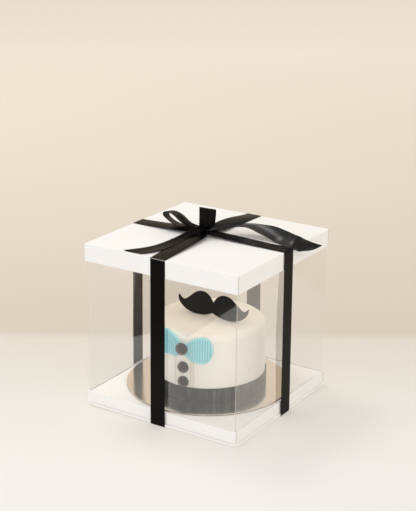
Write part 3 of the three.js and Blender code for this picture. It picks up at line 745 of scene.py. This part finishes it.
def clear_sheet(half):
    """
    Clear rigid film: it lets light straight through, and its outer face mirrors a share that grows
    from a tenth head on by a power of how far it turns away. The inner face, which is marked,
    mirrors nothing but has a faint dry bloom. The folded corners are milky with crazing.
    """
    material, tree = new_material("clear_folded_film")
    place = add(tree, "ShaderNodeTexCoord").outputs["Object"]
    axes = add(tree, "ShaderNodeSeparateXYZ", {"Vector": place})
    across = [add(tree, "ShaderNodeMath", {0: axes.outputs[key]}, operation="ABSOLUTE").outputs["Value"]
              for key in ("X", "Y")]
    nearer = add(tree, "ShaderNodeMath", {0: across[0], 1: across[1]}, operation="MINIMUM")
    milk = add(tree, "ShaderNodeMapRange", {
        "Value": nearer.outputs["Value"], "From Min": half - FILM_FOLD - CREASE_WIDTH,
        "From Max": half - FILM_WALL}, interpolation_type="SMOOTHSTEP")
    facing = add(tree, "ShaderNodeLayerWeight", {"Blend": 0.5})
    steep = add(tree, "ShaderNodeMath", {0: facing.outputs["Facing"], 1: MIRROR_POWER},
                operation="POWER")
    share = add(tree, "ShaderNodeMath", {0: steep.outputs["Value"], 1: MIRROR_TURNED,
                                         2: MIRROR_HEAD_ON}, operation="MULTIPLY_ADD")
    path = add(tree, "ShaderNodeLightPath")
    unseen = add(tree, "ShaderNodeMath", {0: path.outputs["Is Shadow Ray"],
                                          1: path.outputs["Is Diffuse Ray"]}, operation="MAXIMUM")
    inner = marked(tree)
    behind = add(tree, "ShaderNodeNewGeometry").outputs["Backfacing"]
    for hidden in (inner, behind):
        unseen = add(tree, "ShaderNodeMath", {0: unseen.outputs["Value"], 1: hidden}, operation="MAXIMUM")
    seen = add(tree, "ShaderNodeMath", {0: 1.0, 1: unseen.outputs["Value"]}, operation="SUBTRACT")
    mirrored = add(tree, "ShaderNodeMath", {0: share.outputs["Value"], 1: seen.outputs["Value"]},
                   operation="MULTIPLY")
    clear = add(tree, "ShaderNodeBsdfTransparent", {"Color": linear("#ffffff")})
    gloss = add(tree, "ShaderNodeBsdfGlossy", {"Color": linear("#ffffff"), "Roughness": FILM_ROUGHNESS})
    body = add(tree, "ShaderNodeMixShader", {0: mirrored.outputs["Value"], 1: clear.outputs["BSDF"],
                                             2: gloss.outputs["BSDF"]})
    crazed = add(tree, "ShaderNodeBsdfDiffuse", {"Color": linear(CREASE_MILK)})
    milky = add(tree, "ShaderNodeMath", {0: milk.outputs["Result"], 1: CREASE_SHARE},
                operation="MULTIPLY")
    dull = add(tree, "ShaderNodeMix", {"Factor": inner, "A": milky.outputs["Value"],
                                       "B": BLOOM_SHARE}).outputs["Result"]
    for hidden in (behind, path.outputs["Is Shadow Ray"]):
        shown = add(tree, "ShaderNodeMath", {0: 1.0, 1: hidden}, operation="SUBTRACT")
        dull = add(tree, "ShaderNodeMath", {0: dull, 1: shown.outputs["Value"]},
                   operation="MULTIPLY").outputs["Value"]
    whole = add(tree, "ShaderNodeMixShader", {0: dull, 1: body.outputs["Shader"],
                                              2: crazed.outputs["BSDF"]})
    add(tree, "ShaderNodeOutputMaterial", {"Surface": whole.outputs["Shader"]})
    return material


low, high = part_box("clear_sleeve")
sleeve_half = (high[0] - low[0]) / 2
film = clear_sheet(sleeve_half)
heights = np.linspace(low[2], high[2], 32)
outer_stations = [(sleeve_half, height, FILM_FOLD) for height in heights]
inner_stations = [(sleeve_half - FILM_WALL, height, FILM_FOLD / 2) for height in heights[::-1]]
sleeve_stations = outer_stations + inner_stations


def hollow(size, height, points):
    """Pulls each wall in by a cosine arch over its height and width, most on the right."""
    height = (height - low[2]) / (high[2] - low[2])
    edge_place = np.minimum(np.abs(points[:, 0]), np.abs(points[:, 1])) / sleeve_half
    depth = np.where(points[:, 0] > sleeve_half * 0.98, FILM_HOLLOW, 0.35 * FILM_HOLLOW)
    return -depth * np.sin(np.pi * height) ** 2 * np.cos(np.pi / 2 * edge_place) ** 1.3


inner_face = np.repeat(np.arange(len(sleeve_stations)) >= len(outer_stations), RING_POINTS)
make("folded_clear_sleeve", square_shell(sleeve_stations, hollow),
     grid_faces(len(sleeve_stations), RING_POINTS, True, True), film, "clear_sleeve",
     marks=inner_face)

# Lid
# A turned-over tray of the same white card as the base, deeper in the skirt, closed over the
# sleeve. It is folded and glued as the base is, and its flaps meet in a fine joint at each corner.
card_tray("folded_lid", "lid", True)

# Ribbon round the box
# Black satin ribbon, 19 mm wide, laid twice round the box with its duller back outwards, and crossed
# under the base. Each run is flat at the lid's edge, rises to the knot and gathers into pleats there.
RIBBON_WIDTH = 19 * MM
RIBBON_THICK = 0.42 * MM
RIBBON_CLEAR = 0.25 * MM
RIBBON_RISE = 4.6 * MM
RIBBON_PINCHED = 8.5 * MM
RIBBON_BEND = 0.8 * MM
LOOSE_BEND = 2.4 * MM
LOOSE_STAND = np.array([0.8, 0.6]) * MM
RUN_CAMBER = 0.7 * MM
CAMBER_REACH = 20 * MM
PLEATS = 2.5
SATIN_BLACK = "#080706"
SATIN_LIGHT = "#12100e"
SATIN_BACK_GLOSS = 0.065
SATIN_CREASE_HIGHLIGHT = "#a39c94"
SATIN_FOLD = 0.7 * MM
SATIN_PAST = 0.1 * MM
STREAK_LONG = 16.7 * MM
STREAK_WIDE = 0.714 * MM
ACROSS_POINTS = 25
ALONG_STEPS = 60
UNDER_STEPS = 42
GATHER_FROM = 0.82
KNOT = np.array([-4.0, -1.0, 0]) * MM
KNOT_RISE = 8 * MM
BACK_BULGE = (0.8 * MM, np.radians(-13))
RUN_ENDS = {"front": -1.0 * MM, "back": 0.0, "right": 3.9 * MM, "left": 1.0 * MM}

lid_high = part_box("lid")[1]
board_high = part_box("base_board")[1]
KNOT[2] = lid_high[2] + KNOT_RISE


def black_satin(name, gloss, crease_highlight=False):
    """
    Polyester satin: long floats along the ribbon give a soft, stretched sheen across them, by the
    gloss of the side that shows. The streaks follow the UV map, in metres along and across the
    ribbon, drawn coarser than threads. With the crease highlight, a pale line is painted where it
    folds over the front edge of the lid, as a painted highlight of the bend.
    """
    material, tree = new_material(name)
    along = add(tree, "ShaderNodeUVMap", uv_map="UVMap").outputs["UV"]
    stretched = add(tree, "ShaderNodeMapping", {
        "Vector": along, "Scale": (1 / STREAK_LONG, 1 / STREAK_WIDE, 1.0)})
    streaks = add(tree, "ShaderNodeTexNoise", {"Vector": stretched.outputs["Vector"], "Scale": 1.0,
                                               "Detail": 3.0})
    tone = add(tree, "ShaderNodeMix", {"Factor": streaks.outputs["Fac"], "A": linear(SATIN_BLACK),
                                       "B": linear(SATIN_LIGHT)}, data_type="RGBA")
    # A painted highlight: a pale line across the ribbon where it bends over the lid's front edge.
    if crease_highlight:
        place = add(tree, "ShaderNodeTexCoord").outputs["Object"]
        axes = add(tree, "ShaderNodeSeparateXYZ", {"Vector": place})
        level = add(tree, "ShaderNodeMath", {0: axes.outputs["Z"], 1: lid_high[2] + RIBBON_CLEAR,
                                             2: SATIN_FOLD}, operation="COMPARE")
        past = add(tree, "ShaderNodeMath", {0: axes.outputs["Y"], 1: -lid_high[1] - SATIN_PAST},
                   operation="LESS_THAN")
        crease_highlight_share = add(tree, "ShaderNodeMath", {0: level.outputs["Value"], 1: past.outputs["Value"]},
                     operation="MULTIPLY")
        tone = add(tree, "ShaderNodeMix", {"Factor": crease_highlight_share.outputs["Value"],
                                           "A": tone.outputs["Result"],
                                           "B": linear(SATIN_CREASE_HIGHLIGHT)}, data_type="RGBA")
    bump = add(tree, "ShaderNodeBump", {"Height": streaks.outputs["Fac"], "Strength": 0.6,
                                        "Distance": 0.05 * MM})
    tangent = add(tree, "ShaderNodeTangent", direction_type="UV_MAP", uv_map="UVMap")
    satin = add(tree, "ShaderNodeBsdfPrincipled", {
        "Base Color": tone.outputs["Result"], "Roughness": 0.3, "Specular IOR Level": gloss,
        "Anisotropic": 0.7, "Anisotropic Rotation": 0.25, "Tangent": tangent.outputs["Tangent"],
        "Normal": bump.outputs["Normal"]})
    add(tree, "ShaderNodeOutputMaterial", {"Surface": satin.outputs["BSDF"]})
    return material


def pleat_depth(width):
    """
    How deep the pleats are where the ribbon is gathered to a width: what its cloth's own width
    asks for, eased off where it is nearly flat, because there it only curls.
    """
    spare = np.maximum((RIBBON_WIDTH / width) ** 2 - 1, 0)
    return np.sqrt(2 * spare) * width / (2 * np.pi * PLEATS) * np.clip(spare / 1.4, 0, 1)


def ribbon_points(centre, side, width, looped, relief=0.0):
    """
    A flat ribbon along a line of centres: across it, points from edge to edge along the side
    directions, lifted by cosine pleats where it is narrow and by the relief array; then the same
    again a thickness below. Gives the points and their UV in metres along and across.
    """
    if looped:
        ahead = np.roll(centre, -1, 0) - np.roll(centre, 1, 0)
    else:
        ahead = np.gradient(centre, axis=0)
    ahead /= np.linalg.norm(ahead, axis=1)[:, None]
    side = side / np.linalg.norm(side, axis=1)[:, None]
    normal = np.cross(side, ahead)
    normal /= np.linalg.norm(normal, axis=1)[:, None]
    across = crowded(ACROSS_POINTS)
    pleats = pleat_depth(width)[:, None] * np.cos(np.pi * (PLEATS * across + 0.35)) + relief
    flat = side[:, None, :] * (width[:, None] / 2 * across)[..., None] + centre[:, None, :]
    lifted = flat + normal[:, None, :] * pleats[..., None]
    thick = RIBBON_THICK / 2 * np.where(np.abs(across) > 0.999, 0.35, 1.0)[None, :, None]
    up, down = lifted + normal[:, None, :] * thick, lifted - normal[:, None, :] * thick
    points = np.concatenate([up, down[:, ::-1]], 1)
    travelled = np.concatenate([[0], np.cumsum(np.linalg.norm(np.diff(centre, axis=0), axis=1))])
    across_m = np.concatenate([across, across[::-1]]) * RIBBON_WIDTH / 2
    uv = np.stack(np.broadcast_arrays(travelled[:, None], across_m[None, :]), -1)
    return points, uv


def ribbon_faces(rows, columns, looped):
    """Faces round and along a ribbon, its two ends closed unless it is looped."""
    faces = grid_faces(rows, columns, looped, True)
    if not looped:
        faces.append(list(range(columns)))
        faces.append(list(range((rows - 1) * columns, rows * columns)))
    return faces


def turn_of_ribbon(near, far, knot_along, knot_across, far_bulge, far_bend, far_stand, far_taper):
    """
    One turn round the box in its own plane, as (along, across, height, width, roll): from the knot
    to the far lid edge, down that side, under the base, up the near side and back to the knot. The
    far run is lifted by its bulge's height and rolled by its angle, most at its middle. It rounds
    the lid's far edge by its own bend and stands off the lid there, outwards and, over its first
    fifth, upwards. It narrows evenly from edge to knot if it tapers, and otherwise only near it.
    """
    lid_out = lid_high[0] + RIBBON_CLEAR
    board_out = board_high[0] + RIBBON_CLEAR
    level = lid_high[2] + RIBBON_CLEAR
    bottom = RIBBON_THICK / 2
    bend = np.linspace(0, np.pi / 2, 7)

    def run(edge, offset, bulge, round_edge, stand, taper):
        share = np.linspace(1, 0, ALONG_STEPS)[:-1]
        near_knot = np.clip((share - GATHER_FROM) / (1 - GATHER_FROM), 0, 1)
        gathered = share if taper else near_knot ** 2 * (3 - 2 * near_knot)
        width = RIBBON_WIDTH + (RIBBON_PINCHED - RIBBON_WIDTH) * gathered
        along = edge + np.sign(edge) * (stand[0] - round_edge)
        arch = np.sin(np.pi * share) ** 2
        lift = stand[1] * np.clip(1 - 5 * share, 0, 1) ** 2
        return np.stack([along + (knot_along - along) * share, offset + (knot_across - offset) * share,
                         level + RIBBON_RISE * share + bulge[0] * arch + lift, width, bulge[1] * arch], -1)

    def side_down(sign, offset, round_edge, stand):
        outer, top = lid_out + stand[0], level + stand[1]
        shoulder = np.stack([sign * (outer - round_edge + round_edge * np.sin(bend)), 0 * bend + offset,
                             top - round_edge + round_edge * np.cos(bend), 0 * bend + RIBBON_WIDTH,
                             0 * bend], -1)
        fall = np.linspace(0, 1, ALONG_STEPS)[1:-1]
        drop = np.stack([sign * (outer + (board_out - outer) * fall), 0 * fall + offset,
                         top - round_edge + (bottom + 2 * RIBBON_BEND - top) * fall,
                         0 * fall + RIBBON_WIDTH, 0 * fall], -1)
        foot = np.stack([sign * (board_out - RIBBON_BEND + RIBBON_BEND * np.cos(bend)), 0 * bend + offset,
                         bottom + RIBBON_BEND - RIBBON_BEND * np.sin(bend), 0 * bend + RIBBON_WIDTH,
                         0 * bend], -1)
        return np.concatenate([shoulder, drop, foot])

    under = np.linspace(0, 1, UNDER_STEPS)[1:-1]
    below = np.stack([(board_out - RIBBON_BEND) * (1 - 2 * under), far + (near - far) * under,
                      0 * under + bottom, 0 * under + RIBBON_WIDTH, 0 * under], -1)
    return np.concatenate([run(lid_out, far, far_bulge, far_bend, far_stand, far_taper),
                           side_down(1, far, far_bend, far_stand), below,
                           side_down(-1, near, RIBBON_BEND, (0, 0))[::-1],
                           run(-lid_out, near, (0, 0), RIBBON_BEND, (0, 0), False)[::-1][:-1]])


wraps, wrap_uvs, wrap_faces, first = [], [], [], 0
for along_axis, across_axis, *course in (
        ((0, 1, 0), (1, 0, 0), RUN_ENDS["front"], RUN_ENDS["back"], KNOT[1], KNOT[0], BACK_BULGE,
         RIBBON_BEND, (0, 0), False),
        ((1, 0, 0), (0, 1, 0), RUN_ENDS["left"], RUN_ENDS["right"], KNOT[0], KNOT[1], (0, 0),
         LOOSE_BEND, LOOSE_STAND, True)):
    path = turn_of_ribbon(*course)
    centre = path[:, :1] * along_axis + path[:, 1:2] * across_axis + path[:, 2:3] * (0, 0, 1)
    side = np.cos(path[:, 4:]) * across_axis + np.sin(path[:, 4:]) * (0, 0, 1)
    from_edge = np.clip((lid_high[0] - np.abs(path[:, 0])) / CAMBER_REACH, 0, 1)
    bowed = (from_edge * (path[:, 2] > lid_high[2]))[:, None] * (1 - crowded(ACROSS_POINTS) ** 2)
    crown = RUN_CAMBER * bowed * np.cross(across_axis, along_axis)[2]
    points, uv = ribbon_points(centre, side, path[:, 3], True, crown)
    rows, columns = points.shape[:2]
    wraps.append(points.reshape(-1, 3))
    wrap_uvs.append(uv.reshape(-1, 2))
    wrap_faces += (np.array(ribbon_faces(rows, columns, True)) + first).tolist()
    first += rows * columns
# This ribbon carries the painted highlight along its fold over the lid's front edge.
highlighted_satin = black_satin("black_satin_crease_highlight", SATIN_BACK_GLOSS, True)
make("satin_ribbon_wrap", np.concatenate(wraps), wrap_faces, highlighted_satin, "ribbon_wrap",
     uv=np.concatenate(wrap_uvs))

# Bow
# The ribbon's ends tied over the crossing in a shoelace bow: one loop lies back to the left, one
# stands up, one tail lies along the front run and one arches and twists over the right edge, where
# its glossy face shows, as it does on the knot. The ends are cut on the slant.
SATIN_FACE_GLOSS = 0.3
END_REACH = 0.12
LOOP_LEFT = [
    (-6.5, 0, -0.6, 6, 92, 10), (-13, 0, -0.6, 9, 86, 8), (-21, 0, 0.6, 13, 90, 4),
    (-29, 0, 4.4, 17, 89, -7), (-36, 0, 9.2, 19, 90, -11), (-42, 0, 11.8, 19, 91, -11),
    (-48, 0, 12.8, 19, 95, -11), (-52.5, 0, 12, 19, 99, -11), (-54.4, 0, 9.4, 19, 101, -12),
    (-53.2, 0, 6.4, 19, 102, -14), (-49, 0, 3.4, 19, 101, -15), (-44, 0, 1.0, 19, 99, -14),
    (-37.5, 0, -1.3, 18, 96, -10), (-30, 0, -2.5, 15, 90, -5), (-22, 0, -2.6, 11, 89, 0),
    (-13, 0, -2.2, 8, 92, 6), (-6.5, 0, -1.7, 6, 94, 8)]
LOOP_UPRIGHT = [
    (1.6, -2.6, 0.6, 9, 44, 0), (3.6, -4.8, 3.4, 13, 48, 0), (5.2, -6, 7.4, 18.5, 52, -3),
    (5.9, -6.1, 11.2, 19, 50, -4), (6, -5.8, 15.6, 19, 46, -4), (5.4, -4.6, 20.8, 19, 38, -6),
    (3.2, -1.2, 24, 19, 31, -8), (0.6, 3, 23.4, 19, 29, -8), (-1.2, 6, 20, 19, 28, -8),
    (-1.6, 6.8, 14, 18, 28, -6), (-1, 5, 8, 14, 28, -4), (0, 2.2, 3, 9, 30, 0)]
TAIL_LEFT = [
    (4.6, 0.6, 2.6, 8, -20, -10), (0.5, -5.4, 2.8, 10, -14, -14), (-4.6, -12.8, 0.4, 12, -4, -16),
    (-8.6, -21, -1.9, 13, -4, -8), (-11, -36.7, -4.1, 15, -8, -1), (-13.4, -60, -5.5, 18, -16, 2),
    (-20.4, -79, -6.4, 19, -26, 2), (-32, -96, -6.9, 19, -38, 0)]
TAIL_RIGHT = [
    (4, 0.5, 1.4, 8, 125, 12), (10, 5.5, 2.6, 9, 124, 10), (16.5, 12.5, 2.8, 10, 120, 4),
    (24, 20.5, 3.2, 12, 117, -6), (33.5, 25.5, 3.7, 15, 114, -4), (44, 27.5, 3.8, 18, 108, 3),
    (56.5, 28, 2.6, 19, 98, 14), (69, 28, 1.2, 19, 84, 26), (81.5, 26, -1, 19, 74, 34),
    (90, 23.6, -1.7, 19, 75, 34), (97, 21, -1.9, 19, 77, 32), (103, 20.5, -2.5, 19, 79, 30),
    (109, 21.5, -4.5, 19, 80, 28), (116, 23.5, -6.6, 19, 82, 21), (123.5, 25, -6.9, 19, 84, 9)]


def free_ribbon(name, node, keys, count, cloth, slant=0.0, camber=0.0, folds=()):
    """
    A ribbon through keys of (x, y, z, width, turn, tilt) from the knot, in millimetres and
    degrees. slant moves the last edges apart along the ribbon, for an end cut askew. camber
    bows it across. A fold is a rounded ridge as (first share, last share, place across at each,
    half width across, height), and fades out towards its ends.
    """
    line = through(keys, count)
    turn, tilt = np.radians(line[:, 4]), np.radians(line[:, 5])
    side = np.stack([np.cos(turn) * np.cos(tilt), np.sin(turn) * np.cos(tilt), np.sin(tilt)], -1)
    centre = KNOT + line[:, :3] * MM
    share = np.linspace(0, 1, count)[:, None]
    across = crowded(ACROSS_POINTS)[None, :]
    relief = camber * MM * (1 - across ** 2) * np.clip(line[:, 3:4] / 19, 0, 1) ** 2
    for first, last, across_first, across_last, half, height in folds:
        run = np.clip((share - first) / (last - first), 0, 1)
        ridge = np.exp(-((across - across_first - (across_last - across_first) * run) / half) ** 2)
        relief = relief + height * MM * ridge * np.sin(np.pi * run) ** 0.7 * (run > 0) * (run < 1)
    points, uv = ribbon_points(centre, side, line[:, 3] * MM, False, relief)
    rows, columns = points.shape[:2]
    onward = centre[-1] - centre[-2]
    onward /= np.linalg.norm(onward)
    edge = np.concatenate([across[0], across[0, ::-1]])
    reach = np.clip(1 - (np.arange(rows)[::-1] / (END_REACH * rows)), 0, 1)[:, None] * edge[None, :]
    points += slant * MM / 2 * reach[..., None] * onward
    return make(name, points, ribbon_faces(rows, columns, False), cloth, node, uv=uv)


satin = black_satin("black_satin_back", SATIN_BACK_GLOSS)
satin_face = black_satin("black_satin_face", SATIN_FACE_GLOSS)
free_ribbon("satin_loop_left", "bow_loop_left", LOOP_LEFT, 160, satin,
            folds=[(0.02, 0.3, -0.2, 0.5, 0.2, 0.8)])
free_ribbon("satin_loop_upright", "bow_loop_right", LOOP_UPRIGHT, 160, satin, folds=[
    (0.02, 0.4, -0.1, -0.75, 0.16, 1.6), (0.02, 0.34, 0.25, -0.35, 0.14, 1.3),
    (0.02, 0.5, 0.6, 0.5, 0.2, 0.7), (0.6, 0.98, 0.3, -0.1, 0.25, -1.2)])
free_ribbon("satin_tail_left", "bow_tail_left", TAIL_LEFT, 140, satin, -15, 0.7)
free_ribbon("satin_tail_right", "bow_tail_right", TAIL_RIGHT, 160, satin_face, 10, 2.2,
            [(0.02, 0.3, 0.1, 0.5, 0.25, 1.0)])

KNOT_HALF = np.array([6.4, 5.4, 3.9]) * MM
KNOT_FOLDS = 7
KNOT_CHART = 5 * MM
KNOT_RINGS = 60
KNOT_COLUMNS = 140
knot_up, knot_round = np.meshgrid(np.linspace(-np.pi / 2 + 0.02, np.pi / 2 - 0.02, KNOT_RINGS),
                                  np.linspace(0, 2 * np.pi, KNOT_COLUMNS, endpoint=False),
                                  indexing="ij")
fold_wave = 1 + 0.07 * np.cos(KNOT_FOLDS * knot_round + 1.6 * np.sin(2 * knot_up)) * np.cos(knot_up)
round_out = np.abs(np.cos(knot_up)) ** 0.75 * fold_wave
knot_points = KNOT + np.stack([KNOT_HALF[0] * round_out * np.cos(knot_round),
                               KNOT_HALF[1] * round_out * np.sin(knot_round),
                               KNOT_HALF[2] * np.sin(knot_up)], -1)
knot_uv = np.stack([knot_up, knot_round], -1) * KNOT_CHART
make("satin_knot", knot_points, capped_faces(KNOT_RINGS, KNOT_COLUMNS), satin_face,
     "bow_knot", uv=knot_uv)

# Floor, lights and camera
# A pale floor under the box, in two tones that meet behind it, and soft daylight from all round,
# most of it from the front left. A dark flag, seen only in reflections, lies on the floor where the
# clear front wall mirrors nothing bright.
FLOOR_WHITE = "#f1efea"
FLOOR_BACK = "#e3dcd1"
BACK_REACH = 0.35
FLOOR_BEIGE = "#d9cebe"
FLOOR_FAR = "#fff4e5"
FAR_REACH = 2.2
FLOOR_GLOW = 0.4
FLOOR_HALF = 6.0
FLOOR_EDGE = np.array([-0.094, 0.146])
EDGE_BEFORE = 4 * MM
EDGE_BEYOND = 20 * MM
FLAG_BLACK = "#0a0a0a"
FLAG_CORNERS = [(-0.116, -0.323), (-0.155, -0.9), (-0.61, -0.9), (-0.175, -0.288), (-0.16, -0.32),
                (-0.149, -0.338)]
FLAG_HEIGHT = 1 * MM
LAMPS = {
    "daylight_left": ((-1.3, -1.9, 1.1), 1.8, 12, "#e6efff"),
    "daylight_front": ((1.35, -2.05, 1.4), 1.8, 6, "#fffdfa"),
    "daylight_right": ((2.3, -0.7, 1.2), 1.4, 5.5, "#fffcf8"),
    "daylight_side": ((-1.9, 0.5, 1.3), 1.0, 5.5, "#fffaf2"),
    "daylight_back": ((1.7, 1.3, 0.9), 1.0, 3, "#fff6ea"),
    "window_high": ((-0.8, 0.32, 1.95), 0.5, 8.5, "#fffdfa"),
    "window_front": ((1.0, -2.0, 1.6), 0.3, 3, "#fffdfa")}
LID_GLOW = (0.16, 0.052, "#ffeed6")
LID_GLOW_DROP = 3 * MM
WORLD_WHITE = "#fdfbf8"
WORLD_LIGHT = 0.69
WALL_BEIGE = "#dccab2"
WALL_FROM = 0.6
WALL_FULL = 0.85
CAMERA_PLACE = Vector((0.74757, -1.16625, 0.63597))
CAMERA_AZIMUTH = np.radians(32.709)
CAMERA_ELEVATION = np.radians(18.528)
CAMERA_ROLL = 0.0075489
CAMERA_LENS = 90.75


def two_tone_floor():
    """
    A matt pale floor, white in front of a line behind the box and beige beyond it. It glows a
    little, which lightens the shadows on it as a bright room does.
    """
    material, tree = new_material("pale_floor")
    place = add(tree, "ShaderNodeTexCoord").outputs["Object"]
    beyond = add(tree, "ShaderNodeVectorMath", {
        0: place, 1: (-np.sin(CAMERA_AZIMUTH), np.cos(CAMERA_AZIMUTH), 0)}, operation="DOT_PRODUCT")
    line = float(FLOOR_EDGE @ (-np.sin(CAMERA_AZIMUTH), np.cos(CAMERA_AZIMUTH)))
    share = add(tree, "ShaderNodeMapRange", {
        "Value": beyond.outputs["Value"], "From Min": line - EDGE_BEFORE,
        "From Max": line + EDGE_BEYOND})
    further = add(tree, "ShaderNodeMapRange", {
        "Value": beyond.outputs["Value"], "From Min": line, "From Max": line + FAR_REACH})
    nearer = add(tree, "ShaderNodeMapRange", {
        "Value": beyond.outputs["Value"], "From Min": line - BACK_REACH, "From Max": line})
    white = add(tree, "ShaderNodeMix", {"Factor": nearer.outputs["Result"], "A": linear(FLOOR_WHITE),
                                        "B": linear(FLOOR_BACK)}, data_type="RGBA")
    beige = add(tree, "ShaderNodeMix", {"Factor": further.outputs["Result"], "A": linear(FLOOR_BEIGE),
                                        "B": linear(FLOOR_FAR)}, data_type="RGBA")
    tone = add(tree, "ShaderNodeMix", {"Factor": share.outputs["Result"], "A": white.outputs["Result"],
                                       "B": beige.outputs["Result"]}, data_type="RGBA")
    top = add(tree, "ShaderNodeBsdfDiffuse", {"Color": tone.outputs["Result"]})
    glow = add(tree, "ShaderNodeEmission", {"Color": tone.outputs["Result"]})
    lit = add(tree, "ShaderNodeMixShader", {0: FLOOR_GLOW, 1: top.outputs["BSDF"],
                                            2: glow.outputs["Emission"]})
    add(tree, "ShaderNodeOutputMaterial", {"Surface": lit.outputs["Shader"]})
    return material


def stage_face(name, corners, material):
    """A flat piece of the stage through its corners."""
    mesh = bpy.data.meshes.new(name)
    mesh.from_pydata(corners, [], [list(range(len(corners)))])
    mesh.materials.append(material)
    quad = bpy.data.objects.new(name, mesh)
    bpy.context.collection.objects.link(quad)
    return quad


stage_face("floor", [(-FLOOR_HALF, -FLOOR_HALF, 0), (FLOOR_HALF, -FLOOR_HALF, 0),
                     (FLOOR_HALF, FLOOR_HALF, 0), (-FLOOR_HALF, FLOOR_HALF, 0)], two_tone_floor())
flag_material, flag_tree = new_material("black_flag")
flag_face = add(flag_tree, "ShaderNodeBsdfDiffuse", {"Color": linear(FLAG_BLACK)})
add(flag_tree, "ShaderNodeOutputMaterial", {"Surface": flag_face.outputs["BSDF"]})
flag = stage_face("reflection_flag", [(x, y, FLAG_HEIGHT) for x, y in FLAG_CORNERS], flag_material)
flag.visible_camera = False
flag.visible_diffuse = False
flag.visible_shadow = False
flag.visible_transmission = False


def soft_lamp(name, place, size, power, colour):
    """A square area lamp that looks at the middle of the box."""
    light = bpy.data.lights.new(name, "AREA")
    light.size = size
    light.energy = power
    light.color = linear(colour)[:3]
    lamp = bpy.data.objects.new(name, light)
    lamp.location = place
    aim = Vector((0, 0, 0.1)) - Vector(place)
    lamp.rotation_euler = aim.to_track_quat("-Z", "Y").to_euler()
    bpy.context.collection.objects.link(lamp)
    return lamp


for name, lamp in LAMPS.items():
    soft_lamp(name, *lamp)

# A weak lamp under the lid, itself unseen, stands for the light that the card throws back down.
glow = soft_lamp("glow_under_lid", (0, 0, lid_high[2] - LID_GLOW_DROP), *LID_GLOW)
glow.rotation_euler = (0, 0, 0)
glow.visible_camera = False
glow.visible_glossy = False

world = bpy.data.worlds.new("soft_daylight")
world.use_nodes = True
sky = world.node_tree
sky.nodes.clear()
behind = add(sky, "ShaderNodeVectorMath", {
    0: add(sky, "ShaderNodeTexCoord").outputs["Generated"],
    1: (-np.sin(CAMERA_AZIMUTH), np.cos(CAMERA_AZIMUTH), 0)}, operation="DOT_PRODUCT")
wall_share = add(sky, "ShaderNodeMapRange", {
    "Value": behind.outputs["Value"], "From Min": WALL_FROM, "From Max": WALL_FULL},
    interpolation_type="SMOOTHSTEP")
open_sky = add(sky, "ShaderNodeBackground", {"Color": linear(WORLD_WHITE), "Strength": WORLD_LIGHT})
wall = add(sky, "ShaderNodeBackground", {"Color": linear(WALL_BEIGE), "Strength": 1.0})
room = add(sky, "ShaderNodeMixShader", {0: wall_share.outputs["Result"],
                                        1: open_sky.outputs["Background"],
                                        2: wall.outputs["Background"]})
add(sky, "ShaderNodeOutputWorld", {"Surface": room.outputs["Shader"]})
bpy.context.scene.world = world
bpy.context.scene.view_settings.view_transform = "Standard"

camera_data = bpy.data.cameras.new("photo_camera")
camera_data.lens = CAMERA_LENS
camera_data.sensor_width = 36
camera = bpy.data.objects.new("photo_camera", camera_data)
backward = Vector((np.sin(CAMERA_AZIMUTH) * np.cos(CAMERA_ELEVATION),
                   -np.cos(CAMERA_AZIMUTH) * np.cos(CAMERA_ELEVATION), np.sin(CAMERA_ELEVATION)))
rightward = Vector((np.cos(CAMERA_AZIMUTH), np.sin(CAMERA_AZIMUTH), 0))
upward = backward.cross(rightward)
turn_right = rightward * np.cos(CAMERA_ROLL) + upward * np.sin(CAMERA_ROLL)
turn_up = upward * np.cos(CAMERA_ROLL) - rightward * np.sin(CAMERA_ROLL)
aim = Matrix((turn_right, turn_up, backward)).transposed().to_4x4()
camera.matrix_world = Matrix.Translation(CAMERA_PLACE) @ aim
bpy.context.collection.objects.link(camera)
bpy.context.scene.camera = camera
